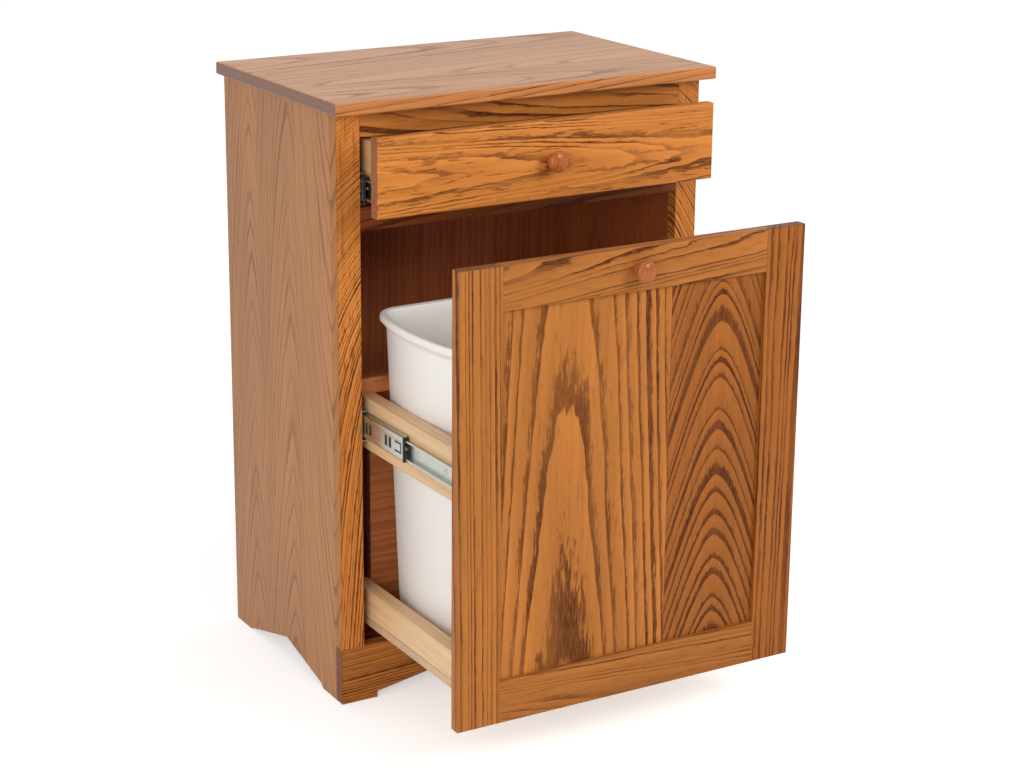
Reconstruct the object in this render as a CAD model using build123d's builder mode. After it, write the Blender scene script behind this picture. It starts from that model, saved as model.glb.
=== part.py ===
"""A free-standing oak cabinet with a drawer over a pull-out rack that carries a waste bin.

Millimetres. +Z is up, the front faces -Y and the cabinet's left is -X. It stands in use: the rack is most of
the way out and the drawer a little open. The origin lies on the floor, under the middle of the box that holds
everything in that pose.
"""

import os

from build123d import *

# ---------------------------------------------------------------- cabinet
WIDTH = 614.0
DEPTH = 380.0
HEIGHT = 914.0
TOP_T = 19.0
TOP_SIDE_OVERHANG = 12.7
TOP_FRONT_OVERHANG = 25.0
TOP_EASE = 2.5
SIDE_T = 19.0
BACK_T = 6.0
BACK_RABBET = 9.5
FRAME_T = 20.0
STILE_W = 37.0
TOP_RAIL_H = 37.0
DRAWER_OPENING_H = 101.0
MID_RAIL_H = 34.0
BASE_H = 87.0
FLOOR_PANEL_T = 12.0
FLOOR_PANEL_Z = 54.0
FLOOR_DADO = 6.0
CLEAT_H = 72.0
TOP_CLEAT = 19.0
CORNER_BLOCK = 32.0
CORNER_BLOCK_Z = 14.0

# feet: the arches are two straight slopes that meet in a peak
FOOT_W = 59.0
FOOT_STEP = 9.3
FRONT_ARCH_PEAK = 52.0
SIDE_FOOT_FRONT = 66.0
SIDE_FOOT_REAR = 54.0
SIDE_STEP = 7.0
SIDE_STEP_REAR = 1.5
SIDE_ARCH_PEAK = 36.5
SIDE_PEAK_Y = 192.5

# ---------------------------------------------------------------- pull-out door and rack
PULL_OUT_OPEN = 286.0
DOOR_T = 19.0
DOOR_OVERLAY = 11.7
DOOR_OVERLAY_Z = 11.0
DOOR_STILE_W = 66.5
DOOR_TOP_RAIL_H = 62.0
DOOR_BOTTOM_RAIL_H = 64.0
DOOR_PANEL_T = 6.5
DOOR_PANEL_RECESS = 6.0
DOOR_GROOVE = 9.5
PANEL_PLAY = 0.5
DOOR_EASE = 2.5
RAIL_T = 23.0
UPPER_RAIL_H = 79.0
UPPER_RAIL_Z = 392.0
LOWER_RAIL_H = 44.0
BOTTOM_BOARD_T = 12.5
BOTTOM_BOARD_Z = 114.0
RACK_BACK_GAP = 30.0
REAR_BAR_H = 24.0
REAR_BAR_D = 32.0
FRONT_BAR_H = 16.0
FRONT_BAR_D = 42.0
REAR_PANEL_T = 12.0
RAIL_EASE = 1.5

# ---------------------------------------------------------------- drawer
DRAWER_OPEN = 57.0
DRAWER_FRONT_T = 19.0
DRAWER_FRONT_OVER_TOP = 12.0
DRAWER_FRONT_OVER_BOTTOM = 1.0
DRAWER_FRONT_EASE = 3.0
DRAWER_SIDE_T = 12.0
DRAWER_SIDE_H = 88.0
DRAWER_BACK_GAP = 24.0
DRAWER_RUN_GAP = 8.0
DRAWER_BACK_H = 76.0
DRAWER_BOTTOM_T = 6.0
DRAWER_BOTTOM_UP = 8.0
DRAWER_GROOVE = 6.0

# ---------------------------------------------------------------- turned knobs
KNOB_D = 32.0
KNOB_PROJECTION = 26.0
KNOB_FOOT_D = 19.0
KNOB_NECK_D = 15.0
KNOB_FOOT_T = 3.0
KNOB_HEAD_T = 13.0
KNOB_CAP_H = 4.5
KNOB_ROUNDING = 2.5
KNOB_CUTS = 2
KNOB_SCREW_D = 4.0
KNOB_SCREW_PLAY = 0.1
KNOB_SCREW_DEPTH = 14.0
SCREW_HEAD_D = 9.0
SCREW_HEAD_T = 2.5

# ---------------------------------------------------------------- ball-bearing slides
SLIDE_TRAVEL = 350.0
SLIDE_SETBACK = 2.0
SLIDE_W = 12.7
SHEET_T = 1.2
OUTER_LENGTH = 350.0
OUTER_H = 45.8
OUTER_FLANGE = 9.0
MID_LENGTH = 322.0
MID_INSET = 22.0
INNER_LENGTH = 340.0
BALL_D = 3.3
BALL_CLEARANCE = 0.1
WEB_GAP = 1.4
LIP = 1.2
RETAINER_T = 0.6
RETAINER_RIM = 0.9
RETAINER_GAP = 0.35
OUTER_RETAINER_LENGTH = 160.0
INNER_RETAINER_LENGTH = 130.0
RETAINER_MARGIN = 2.0
BALLS_PER_TRACK = 3
BALL_FLAT = 0.95
STOP_LENGTH = 12.0
STOP_COLLAR = 3.0
STOP_GAP = 0.3
WINDOW_PLACES = (5.0, 35.0, 96.0)
WINDOW_W = 20.0
WINDOW_H = 16.0
DRAWER_SLIDE_UP = 18.5
SLIDE_SCREW_D = 3.5
SLIDE_SCREW_PLAY = 0.1
SLIDE_SCREW_HEAD_D = 6.6
SLIDE_SCREW_HEAD_T = 1.0
SLIDE_SCREW_DEPTH = 10.0
SLIDE_SCREW_INSETS = (57.0, 134.0, 300.0)

# ---------------------------------------------------------------- waste bin
BIN_RAIL_GAP = 1.3
BIN_REAR_GAP = 1.0
BIN_FRONT_GAP = 35.0
BIN_HEIGHT = 468.0
BIN_DRAFT = 19.0
BIN_CORNER_R = 41.0
BIN_END_BULGE = 19.0
BIN_SIDE_BULGE = 3.0
BIN_WALL = 2.5
BIN_LIP = 9.0
BIN_LIP_H = 10.0
BIN_LIP_SLOPE_H = 11.0
BIN_FOOT_R = 10.0
BIN_RIM_EASE = 3.0
BIN_SEAT_GAP = 0.3

# ---------------------------------------------------------------- places that follow
reach = PULL_OUT_OPEN + DOOR_T + KNOB_PROJECTION
front = (reach - DEPTH) / 2
back = front + DEPTH
half = WIDTH / 2
inside = half - SIDE_T
opening = half - STILE_W
carcass_top = HEIGHT - TOP_T
drawer_opening_top = carcass_top - TOP_RAIL_H
drawer_opening_bottom = drawer_opening_top - DRAWER_OPENING_H
door_opening_top = drawer_opening_bottom - MID_RAIL_H

door_rear = front - PULL_OUT_OPEN
door_front = door_rear - DOOR_T
door_half = opening + DOOR_OVERLAY
door_bottom = BASE_H - DOOR_OVERLAY_Z
door_top = door_opening_top + DOOR_OVERLAY_Z
panel_y = (door_front + DOOR_PANEL_RECESS, door_front + DOOR_PANEL_RECESS + DOOR_PANEL_T)
door_knob_z = door_top - DOOR_TOP_RAIL_H / 2

rail_outer = opening - SLIDE_W
rail_inner = rail_outer - RAIL_T
rack_rear = door_rear + DEPTH - BACK_T - RACK_BACK_GAP
upper_rail_top = UPPER_RAIL_Z + UPPER_RAIL_H
lower_rail_z = BOTTOM_BOARD_Z + BOTTOM_BOARD_T
pullout_slide_z = UPPER_RAIL_Z + UPPER_RAIL_H / 2

drawer_rear_of_front = front - DRAWER_OPEN
drawer_front_y = drawer_rear_of_front - DRAWER_FRONT_T
drawer_back_y = drawer_rear_of_front + DEPTH - BACK_T - DRAWER_BACK_GAP
drawer_z = drawer_opening_bottom + DRAWER_RUN_GAP
drawer_front_bottom = drawer_opening_bottom - DRAWER_FRONT_OVER_BOTTOM
drawer_front_top = drawer_opening_top + DRAWER_FRONT_OVER_TOP
drawer_knob_z = (drawer_front_bottom + drawer_front_top) / 2
drawer_slide_z = drawer_z + DRAWER_SLIDE_UP

# a cylinder or cone that starts on its plane, and one that ends there
INWARD = (Align.CENTER, Align.CENTER, Align.MIN)
OUTWARD = (Align.CENTER, Align.CENTER, Align.MAX)

os.makedirs("parts", exist_ok=True)


def finish(piece, label):
    """Labels a finished piece and writes it."""
    piece.part.label = label
    export_step(piece.part, f"parts/{label}.step")


def named(side):
    """The name of a side, where -1 is left and 1 is right."""
    return "left" if side < 0 else "right"


def span(side, a, b):
    """The X range from a to b out from the middle, on the given side."""
    return (min(side * a, side * b), max(side * a, side * b))


def board(x, y, z, mode=Mode.ADD):
    """A straight board between two values along each axis."""
    with Locations(((x[0] + x[1]) / 2, (y[0] + y[1]) / 2, (z[0] + z[1]) / 2)):
        Box(x[1] - x[0], y[1] - y[0], z[1] - z[0], mode=mode)


# ================================================================ cabinet case
with BuildPart() as top_board:
    board(
        (-half - TOP_SIDE_OVERHANG, half + TOP_SIDE_OVERHANG),
        (front - TOP_FRONT_OVERHANG, back),
        (carcass_top, HEIGHT),
    )
    fillet(top_board.edges().filter_by(Axis.Z, reverse=True), TOP_EASE)
finish(top_board, "top_board")

for side in (-1, 1):
    with BuildPart() as side_panel:
        with BuildSketch(Plane.YZ.offset(span(side, inside, half)[0])):
            with BuildLine():
                Polyline(
                    (front + FRAME_T, 0),
                    (front + SIDE_FOOT_FRONT, 0),
                    (front + SIDE_FOOT_FRONT + SIDE_STEP, SIDE_STEP),
                    (front + SIDE_PEAK_Y, SIDE_ARCH_PEAK),
                    (back - SIDE_FOOT_REAR, SIDE_STEP_REAR),
                    (back - SIDE_FOOT_REAR, 0),
                    (back, 0),
                    (back, carcass_top),
                    (front + FRAME_T, carcass_top),
                    close=True,
                )
            make_face()
        extrude(amount=SIDE_T)
        board(
            span(side, inside, inside + BACK_RABBET),
            (back - BACK_T, back),
            (FLOOR_PANEL_Z, carcass_top),
            mode=Mode.SUBTRACT,
        )
        board(
            span(side, inside, inside + FLOOR_DADO),
            (front + FRAME_T, back - BACK_T),
            (FLOOR_PANEL_Z, FLOOR_PANEL_Z + FLOOR_PANEL_T),
            mode=Mode.SUBTRACT,
        )
    finish(side_panel, f"{named(side)}_side_panel")

with BuildPart() as back_panel:
    board(
        (-inside - BACK_RABBET, inside + BACK_RABBET),
        (back - BACK_T, back),
        (FLOOR_PANEL_Z, carcass_top),
    )
finish(back_panel, "back_panel")

with BuildPart() as floor_panel:
    board(
        (-inside - FLOOR_DADO, inside + FLOOR_DADO),
        (front + FRAME_T, back - BACK_T),
        (FLOOR_PANEL_Z, FLOOR_PANEL_Z + FLOOR_PANEL_T),
    )
finish(floor_panel, "floor_panel")

with BuildPart() as corner_blocks:
    for side in (-1, 1):
        with BuildSketch(Plane.XY.offset(CORNER_BLOCK_Z)):
            with BuildLine():
                Polyline(
                    (side * inside, front + FRAME_T),
                    (side * (inside - CORNER_BLOCK), front + FRAME_T),
                    (side * inside, front + FRAME_T + CORNER_BLOCK),
                    close=True,
                )
            make_face()
        extrude(amount=FLOOR_PANEL_Z - CORNER_BLOCK_Z)
finish(corner_blocks, "corner_blocks")

with BuildPart() as top_cleats:
    for low_y in (front + FRAME_T, back - BACK_T - TOP_CLEAT):
        board((-inside, inside), (low_y, low_y + TOP_CLEAT), (carcass_top - TOP_CLEAT, carcass_top))
finish(top_cleats, "top_cleats")

# ---------------------------------------------------------------- face frame
for side in (-1, 1):
    with BuildPart() as stile:
        board(span(side, opening, half), (front, front + FRAME_T), (BASE_H, carcass_top))
    finish(stile, f"{named(side)}_stile")

for label, low, high in (
    ("top_rail", drawer_opening_top, carcass_top),
    ("mid_rail", door_opening_top, drawer_opening_bottom),
):
    with BuildPart() as rail:
        board((-opening, opening), (front, front + FRAME_T), (low, high))
    finish(rail, label)

with BuildPart() as base_rail:
    with BuildSketch(Plane.XZ.offset(-front - FRAME_T)):
        with BuildLine():
            Polyline(
                (-half, 0),
                (-half + FOOT_W, 0),
                (-half + FOOT_W, FOOT_STEP),
                (0, FRONT_ARCH_PEAK),
                (half - FOOT_W, FOOT_STEP),
                (half - FOOT_W, 0),
                (half, 0),
                (half, BASE_H),
                (-half, BASE_H),
                close=True,
            )
        make_face()
    extrude(amount=FRAME_T)
finish(base_rail, "base_rail")

# cleats pack each slide out from the side panel to the edge of the stile
with BuildPart() as slide_cleats:
    for side in (-1, 1):
        for z in (pullout_slide_z, drawer_slide_z):
            board(
                span(side, opening, inside),
                (front + FRAME_T, front + SLIDE_SETBACK + OUTER_LENGTH),
                (z - CLEAT_H / 2, z + CLEAT_H / 2),
            )
finish(slide_cleats, "slide_cleats")

# ================================================================ pull-out door
door_stile_inner = door_half - DOOR_STILE_W
panel_bottom = door_bottom + DOOR_BOTTOM_RAIL_H
panel_top = door_top - DOOR_TOP_RAIL_H


def front_edges(piece):
    """The edges of a piece's foremost face."""
    return piece.faces().sort_by(Axis.Y)[0].edges()


for side in (-1, 1):
    with BuildPart() as door_stile:
        board(span(side, door_stile_inner, door_half), (door_front, door_rear), (door_bottom, door_top))
        board(
            span(side, door_stile_inner, door_stile_inner + DOOR_GROOVE),
            panel_y,
            (door_bottom, door_top),
            mode=Mode.SUBTRACT,
        )
        fillet(front_edges(door_stile).sort_by(Axis((0, 0, 0), (side, 0, 0)))[1:], DOOR_EASE)
    finish(door_stile, f"door_{named(side)}_stile")

for label, low, high, groove in (
    ("door_top_rail", panel_top, door_top, (panel_top, panel_top + DOOR_GROOVE)),
    ("door_bottom_rail", door_bottom, panel_bottom, (panel_bottom - DOOR_GROOVE, panel_bottom)),
):
    is_top = label == "door_top_rail"
    with BuildPart() as door_rail:
        board((-door_stile_inner, door_stile_inner), (door_front, door_rear), (low, high))
        fillet(front_edges(door_rail).sort_by(Axis.Z)[-1 if is_top else 0], DOOR_EASE)
        tongue = door_stile_inner + DOOR_GROOVE - PANEL_PLAY
        board((-tongue, tongue), panel_y, (low, high))
        board((-tongue, tongue), panel_y, groove, mode=Mode.SUBTRACT)
        if is_top:
            with Locations(Plane.XZ.offset(-door_rear) * Pos(0, door_knob_z)):
                Hole(KNOB_SCREW_D / 2 + KNOB_SCREW_PLAY)
    finish(door_rail, label)

with BuildPart() as door_panel:
    edge = DOOR_GROOVE - PANEL_PLAY
    board(
        (-door_stile_inner - edge, door_stile_inner + edge),
        panel_y,
        (panel_bottom - edge, panel_top + edge),
    )
finish(door_panel, "door_panel")


# ---------------------------------------------------------------- knobs
def cuts(curve):
    """Points evenly along a curve of a turned outline."""
    return [curve @ (n / KNOB_CUTS) for n in range(KNOB_CUTS + 1)]


def knob(face_y, z, label):
    """A turned mushroom knob that stands out of a front face at face_y, with a blind hole for its screw."""
    neck_y = face_y - KNOB_FOOT_T
    crown_y = face_y - KNOB_PROJECTION
    head_y = crown_y + KNOB_HEAD_T
    cap_y = crown_y + KNOB_CAP_H
    bore_y = face_y - KNOB_SCREW_DEPTH - KNOB_SCREW_PLAY
    bore_z = z + KNOB_SCREW_D / 2 + KNOB_SCREW_PLAY
    foot_z = z + KNOB_FOOT_D / 2
    neck_z = z + KNOB_NECK_D / 2
    rim_z = z + KNOB_D / 2
    edge_z = rim_z - KNOB_ROUNDING
    neck = TangentArc((neck_y, neck_z), (head_y, edge_z), tangent=(-1, 0), mode=Mode.PRIVATE)
    rim = ThreePointArc((head_y, edge_z), ((cap_y + head_y) / 2, rim_z), (cap_y, edge_z), mode=Mode.PRIVATE)
    cap = TangentArc((crown_y, z), (cap_y, edge_z), tangent=(0, 1), mode=Mode.PRIVATE)
    with BuildPart() as turned:
        with BuildSketch(Plane.YZ):
            with BuildLine():
                Polyline(
                    (bore_y, z),
                    (bore_y, bore_z),
                    (face_y, bore_z),
                    (face_y, foot_z),
                    (neck_y, foot_z),
                    *cuts(neck),
                    *cuts(rim)[1:],
                    *cuts(cap)[-2::-1],
                    close=True,
                )
            make_face()
        revolve(axis=Axis((0, 0, z), (0, 1, 0)))
    finish(turned, label)


def knob_screw(face_y, inner_y, z, label):
    """The machine screw that holds a knob, its head behind inner_y."""
    with BuildPart() as screw:
        with Locations(Plane((0, inner_y, z), z_dir=(0, -1, 0))):
            Cylinder(KNOB_SCREW_D / 2, inner_y - face_y + KNOB_SCREW_DEPTH, align=INWARD)
            Cylinder(SCREW_HEAD_D / 2, SCREW_HEAD_T, align=OUTWARD)
    finish(screw, label)


knob(door_front, door_knob_z, "door_knob")
knob_screw(door_front, door_rear, door_knob_z, "door_knob_screw")

# ================================================================ rack
slide_screw_y = [SLIDE_SETBACK + inset for inset in SLIDE_SCREW_INSETS]


def across(side, x, y_values, z):
    """Places on the plane at x of the given side, each with its Z axis pointing in towards the middle."""
    return Locations(*[Plane((side * x, y, z), x_dir=(0, 1, 0), z_dir=(-side, 0, 0)) for y in y_values])


def screw_holes(side, x, y_values, z, depth=SLIDE_SCREW_DEPTH + SLIDE_SCREW_PLAY):
    """Holes for slide screws, bored from the plane at x towards the middle."""
    with across(side, x, y_values, z):
        Cylinder(SLIDE_SCREW_D / 2 + SLIDE_SCREW_PLAY, depth, align=INWARD, mode=Mode.SUBTRACT)


for side in (-1, 1):
    with BuildPart() as upper_rail:
        board(span(side, rail_inner, rail_outer), (door_rear, rack_rear), (UPPER_RAIL_Z, upper_rail_top))
        fillet(upper_rail.edges().filter_by(Axis.Y), RAIL_EASE)
        screw_holes(side, rail_outer, [door_rear + y for y in slide_screw_y], pullout_slide_z)
    finish(upper_rail, f"rack_upper_rail_{named(side)}")

    with BuildPart() as lower_rail:
        board(
            span(side, rail_inner, rail_outer),
            (door_rear, rack_rear),
            (lower_rail_z, lower_rail_z + LOWER_RAIL_H),
        )
        fillet(lower_rail.edges().filter_by(Axis.Y), RAIL_EASE)
    finish(lower_rail, f"rack_lower_rail_{named(side)}")

with BuildPart() as rack_bottom_board:
    board(
        (-rail_outer, rail_outer), (door_rear, rack_rear), (BOTTOM_BOARD_Z, BOTTOM_BOARD_Z + BOTTOM_BOARD_T)
    )
finish(rack_bottom_board, "rack_bottom_board")

with BuildPart() as rack_rear_panel:
    board((-rail_inner, rail_inner), (rack_rear - REAR_PANEL_T, rack_rear), (lower_rail_z, upper_rail_top))
finish(rack_rear_panel, "rack_rear_panel")

for label, low_y, deep, high in (
    ("rack_rear_bar", rack_rear - REAR_BAR_D, REAR_BAR_D, REAR_BAR_H),
    ("rack_front_bar", door_rear, FRONT_BAR_D, FRONT_BAR_H),
):
    with BuildPart() as bar:
        board((-rail_outer, rail_outer), (low_y, low_y + deep), (upper_rail_top, upper_rail_top + high))
        fillet(bar.edges().filter_by(Axis.X).group_by(Axis.Z)[-1], RAIL_EASE)
    finish(bar, label)

# ================================================================ drawer
drawer_side_outer = opening - SLIDE_W
drawer_side_inner = drawer_side_outer - DRAWER_SIDE_T
drawer_bottom_z = (drawer_z + DRAWER_BOTTOM_UP, drawer_z + DRAWER_BOTTOM_UP + DRAWER_BOTTOM_T)

with BuildPart() as drawer_front:
    board(
        (-door_half, door_half),
        (drawer_front_y, drawer_rear_of_front),
        (drawer_front_bottom, drawer_front_top),
    )
    fillet(drawer_front.faces().sort_by(Axis.Y)[0].edges(), DRAWER_FRONT_EASE)
    with Locations(Plane.XZ.offset(-drawer_rear_of_front) * Pos(0, drawer_knob_z)):
        Hole(KNOB_SCREW_D / 2 + KNOB_SCREW_PLAY)
finish(drawer_front, "drawer_front")

for side in (-1, 1):
    with BuildPart() as drawer_side:
        board(
            span(side, drawer_side_inner, drawer_side_outer),
            (drawer_rear_of_front, drawer_back_y),
            (drawer_z, drawer_z + DRAWER_SIDE_H),
        )
        board(
            span(side, drawer_side_inner, drawer_side_inner + DRAWER_GROOVE),
            (drawer_rear_of_front, drawer_back_y),
            drawer_bottom_z,
            mode=Mode.SUBTRACT,
        )
        screw_holes(
            side, drawer_side_outer, [drawer_rear_of_front + y for y in slide_screw_y], drawer_slide_z
        )
    finish(drawer_side, f"drawer_{named(side)}_side")

with BuildPart() as drawer_inner_front:
    board(
        (-drawer_side_inner, drawer_side_inner),
        (drawer_rear_of_front, drawer_rear_of_front + DRAWER_SIDE_T),
        (drawer_z, drawer_z + DRAWER_SIDE_H),
    )
    board(
        (-drawer_side_inner, drawer_side_inner),
        (drawer_rear_of_front + DRAWER_SIDE_T - DRAWER_GROOVE, drawer_rear_of_front + DRAWER_SIDE_T),
        drawer_bottom_z,
        mode=Mode.SUBTRACT,
    )
    with Locations(Plane.XZ.offset(-drawer_rear_of_front - DRAWER_SIDE_T) * Pos(0, drawer_knob_z)):
        Hole(KNOB_SCREW_D / 2 + KNOB_SCREW_PLAY)
finish(drawer_inner_front, "drawer_inner_front")

with BuildPart() as drawer_back:
    board(
        (-drawer_side_inner, drawer_side_inner),
        (drawer_back_y - DRAWER_SIDE_T, drawer_back_y),
        (drawer_bottom_z[1], drawer_bottom_z[1] + DRAWER_BACK_H - DRAWER_BOTTOM_T),
    )
finish(drawer_back, "drawer_back")

with BuildPart() as drawer_bottom:
    board(
        (-drawer_side_inner - DRAWER_GROOVE + PANEL_PLAY, drawer_side_inner + DRAWER_GROOVE - PANEL_PLAY),
        (drawer_rear_of_front + DRAWER_SIDE_T - DRAWER_GROOVE + PANEL_PLAY, drawer_back_y),
        drawer_bottom_z,
    )
finish(drawer_bottom, "drawer_bottom")

knob(drawer_front_y, drawer_knob_z, "drawer_knob")
knob_screw(drawer_front_y, drawer_rear_of_front + DRAWER_SIDE_T, drawer_knob_z, "drawer_knob_screw")

# ================================================================ ball-bearing slides
# Across a slide, u runs from the cabinet's side to the drawer's and v up from the slide's middle. Three
# channels nest: the outer one is fixed to the cabinet, the inner one to what it carries, and the middle one
# runs between them on two sets of balls, each set in its own retainer.
outer_v = OUTER_H / 2
ball_gap = BALL_D + 2 * BALL_CLEARANCE
mid_v = outer_v - SHEET_T - ball_gap
inner_v = mid_v - SHEET_T - ball_gap
mid_u = SHEET_T + WEB_GAP
mid_end_u = SLIDE_W - SHEET_T - RETAINER_GAP
inner_end_u = mid_u + SHEET_T + WEB_GAP
outer_ball_u = (mid_u + SHEET_T + OUTER_FLANGE - SHEET_T) / 2
inner_ball_u = (inner_end_u + SHEET_T + mid_end_u - SHEET_T) / 2
outer_ball_v = outer_v - SHEET_T - ball_gap / 2
inner_ball_v = mid_v - SHEET_T - ball_gap / 2


def section_plane(side, y):
    """The plane of a slide's section at y: its X is u, its Y runs down, and its normal runs to the rear."""
    return Plane(origin=(side * opening, y, 0), x_dir=(-side, 0, 0), z_dir=(0, 1, 0))


def section(side, y, z, rectangles):
    """A slide's section at y: rectangles (u low, u high, v low, v high), mirrored about its middle at z."""
    plane = section_plane(side, y)
    up = plane.y_dir.Z
    with BuildSketch(plane) as drawn:
        for u0, u1, v0, v1 in rectangles:
            for sign in (-1, 1):
                with Locations(((u0 + u1) / 2, up * (z + sign * (v0 + v1) / 2))):
                    Rectangle(u1 - u0, v1 - v0)
    return drawn.sketch


outer_section = (
    (0, SHEET_T, 0, outer_v),
    (0, OUTER_FLANGE, outer_v - SHEET_T, outer_v),
    (OUTER_FLANGE - SHEET_T, OUTER_FLANGE, outer_v - SHEET_T - LIP, outer_v),
)
mid_section = (
    (mid_u, mid_u + SHEET_T, 0, mid_v),
    (mid_u, mid_end_u, mid_v - SHEET_T, mid_v),
    (mid_end_u - SHEET_T, mid_end_u, mid_v - SHEET_T - LIP, mid_v + LIP),
)
inner_section = (
    (SLIDE_W - SHEET_T, SLIDE_W, 0, inner_v),
    (inner_end_u, SLIDE_W, inner_v - SHEET_T, inner_v),
    (inner_end_u, inner_end_u + SHEET_T, inner_v - SHEET_T, inner_v + LIP),
)
outer_retainer_u = SHEET_T + (WEB_GAP - RETAINER_T) / 2
inner_retainer_u = mid_u + SHEET_T + (WEB_GAP - RETAINER_T) / 2


def retainer_section(u, ball_u, ball_v):
    """A retainer's web at u, and the arm that reaches from it round the balls at ball_u and ball_v."""
    arm_u = ball_u + BALL_D / 2 + RETAINER_RIM
    return (
        (u, u + RETAINER_T, 0, ball_v),
        (u, arm_u, ball_v - RETAINER_T / 2, ball_v + RETAINER_T / 2),
    )


stop_section = (
    (mid_u + SHEET_T, inner_end_u - STOP_GAP, 0, mid_v - SHEET_T),
    (mid_u + SHEET_T, mid_end_u - SHEET_T, inner_v + LIP + STOP_GAP, mid_v - SHEET_T),
)
collar_section = (
    (mid_u, inner_end_u - STOP_GAP, 0, mid_v),
    (mid_u, mid_end_u, inner_v + LIP + STOP_GAP, mid_v),
)


# every ball has small flats all over, like a cube with its edges cut off
with BuildPart() as ball:
    Box(BALL_D, BALL_D, BALL_D)
    chamfer(ball.edges(), BALL_FLAT)


def ball_places(side, first_y, length, ball_u, ball_v, z):
    """The centres of a retainer's balls, evenly spaced along it on both tracks."""
    pitch = length / BALLS_PER_TRACK
    x = side * (opening - ball_u)
    ys = [first_y + pitch * (n + 0.5) for n in range(BALLS_PER_TRACK)]
    return [(x, y, z + sign * ball_v) for y in ys for sign in (-1, 1)]


def slide_set(prefix, z, opened):
    """Both slides of a drawer that stands open by the given amount."""
    outer_y = front + SLIDE_SETBACK
    mid_y = outer_y + MID_INSET - opened / 2
    inner_y = outer_y - opened
    outer_retainer_y = outer_y + SLIDE_TRAVEL / 4 + RETAINER_MARGIN - opened / 4
    inner_retainer_y = mid_y + STOP_LENGTH + RETAINER_MARGIN + (SLIDE_TRAVEL - opened) / 4
    screw_ys = [inner_y + inset for inset in SLIDE_SCREW_INSETS]

    for side in (-1, 1):
        with BuildPart() as outer_member:
            extrude(section(side, outer_y, z, outer_section), amount=OUTER_LENGTH)
        finish(outer_member, f"{prefix}_slide_outer_{named(side)}")

        with BuildPart() as mid_member:
            extrude(section(side, mid_y, z, mid_section), amount=MID_LENGTH)
            for window in WINDOW_PLACES:
                board(
                    span(side, opening - mid_u - SHEET_T, opening - mid_u),
                    (mid_y + window, mid_y + window + WINDOW_W),
                    (z - WINDOW_H / 2, z + WINDOW_H / 2),
                    mode=Mode.SUBTRACT,
                )
        finish(mid_member, f"{prefix}_slide_mid_{named(side)}")

        with BuildPart() as inner_member:
            extrude(section(side, inner_y, z, inner_section), amount=INNER_LENGTH)
            screw_holes(side, rail_outer + SHEET_T, screw_ys, z, SHEET_T)
        finish(inner_member, f"{prefix}_slide_inner_{named(side)}")

    for name, web_u, y, length, ball_u, ball_v in (
        ("outer", outer_retainer_u, outer_retainer_y, OUTER_RETAINER_LENGTH, outer_ball_u, outer_ball_v),
        ("inner", inner_retainer_u, inner_retainer_y, INNER_RETAINER_LENGTH, inner_ball_u, inner_ball_v),
    ):
        with BuildPart() as retainers:
            for side in (-1, 1):
                extrude(section(side, y, z, retainer_section(web_u, ball_u, ball_v)), amount=length)
                with Locations(*ball_places(side, y, length, ball_u, ball_v, z)):
                    Box(ball_gap, ball_gap, BALL_D, mode=Mode.SUBTRACT)
                    add(ball.part)
        finish(retainers, f"{prefix}_{name}_retainers")

    with BuildPart() as stops:
        for side in (-1, 1):
            extrude(section(side, mid_y, z, stop_section), amount=STOP_LENGTH)
            extrude(section(side, mid_y - STOP_COLLAR, z, collar_section), amount=STOP_COLLAR)
    finish(stops, f"{prefix}_slide_stops")

    with BuildPart() as screws:
        for side in (-1, 1):
            with across(side, rail_outer, screw_ys, z):
                Cylinder(SLIDE_SCREW_D / 2, SLIDE_SCREW_DEPTH, align=INWARD)
                Cylinder(SLIDE_SCREW_D / 2, SHEET_T, align=OUTWARD)
            with across(side, rail_outer + SHEET_T, screw_ys, z):
                Cylinder(SLIDE_SCREW_HEAD_D / 2, SLIDE_SCREW_HEAD_T, align=OUTWARD)
    finish(screws, f"{prefix}_slide_screws")


slide_set("pullout", pullout_slide_z, PULL_OUT_OPEN)
slide_set("drawer", drawer_slide_z, DRAWER_OPEN)

# ================================================================ waste bin
# Its wall clears the rack's upper rails and bars, where it passes between them, by the three gaps.
bin_bottom = lower_rail_z + BIN_SEAT_GAP
bin_top = bin_bottom + BIN_HEIGHT
bin_lip_z = bin_top - BIN_LIP_H
bin_neck = bin_lip_z - BIN_LIP_SLOPE_H


def bin_inset(z):
    """How far the bin's wall at z stands in from the edge of its lip."""
    return BIN_LIP + BIN_DRAFT * (bin_top - z) / BIN_HEIGHT


bin_end = rail_inner - BIN_RAIL_GAP + bin_inset(upper_rail_top)
bin_front_y = door_rear + FRONT_BAR_D + BIN_FRONT_GAP - bin_inset(upper_rail_top)
bin_rear_y = rack_rear - REAR_BAR_D - BIN_REAR_GAP + bin_inset(upper_rail_top)
bin_y = (bin_front_y + bin_rear_y) / 2
bin_side = (bin_rear_y - bin_front_y) / 2


# the outline of the lip: bowed sides that meet in round corners
with BuildSketch() as bin_lip:
    lip_x = bin_end - BIN_END_BULGE
    lip_y = bin_side - BIN_SIDE_BULGE
    with BuildLine():
        ThreePointArc((-lip_x, -lip_y), (0, -bin_side), (lip_x, -lip_y))
        ThreePointArc((lip_x, -lip_y), (bin_end, 0), (lip_x, lip_y))
        ThreePointArc((lip_x, lip_y), (0, bin_side), (-lip_x, lip_y))
        ThreePointArc((-lip_x, lip_y), (-bin_end, 0), (-lip_x, -lip_y))
    make_face()
    fillet(bin_lip.vertices(), BIN_CORNER_R)


def inset_arc(arc, inset):
    """Three points of an arc of the lip's outline, moved towards its centre."""
    centre = arc.arc_center
    return [centre + (arc @ place - centre).normalized() * (arc.radius - inset) for place in (0, 0.5, 1)]


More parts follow.
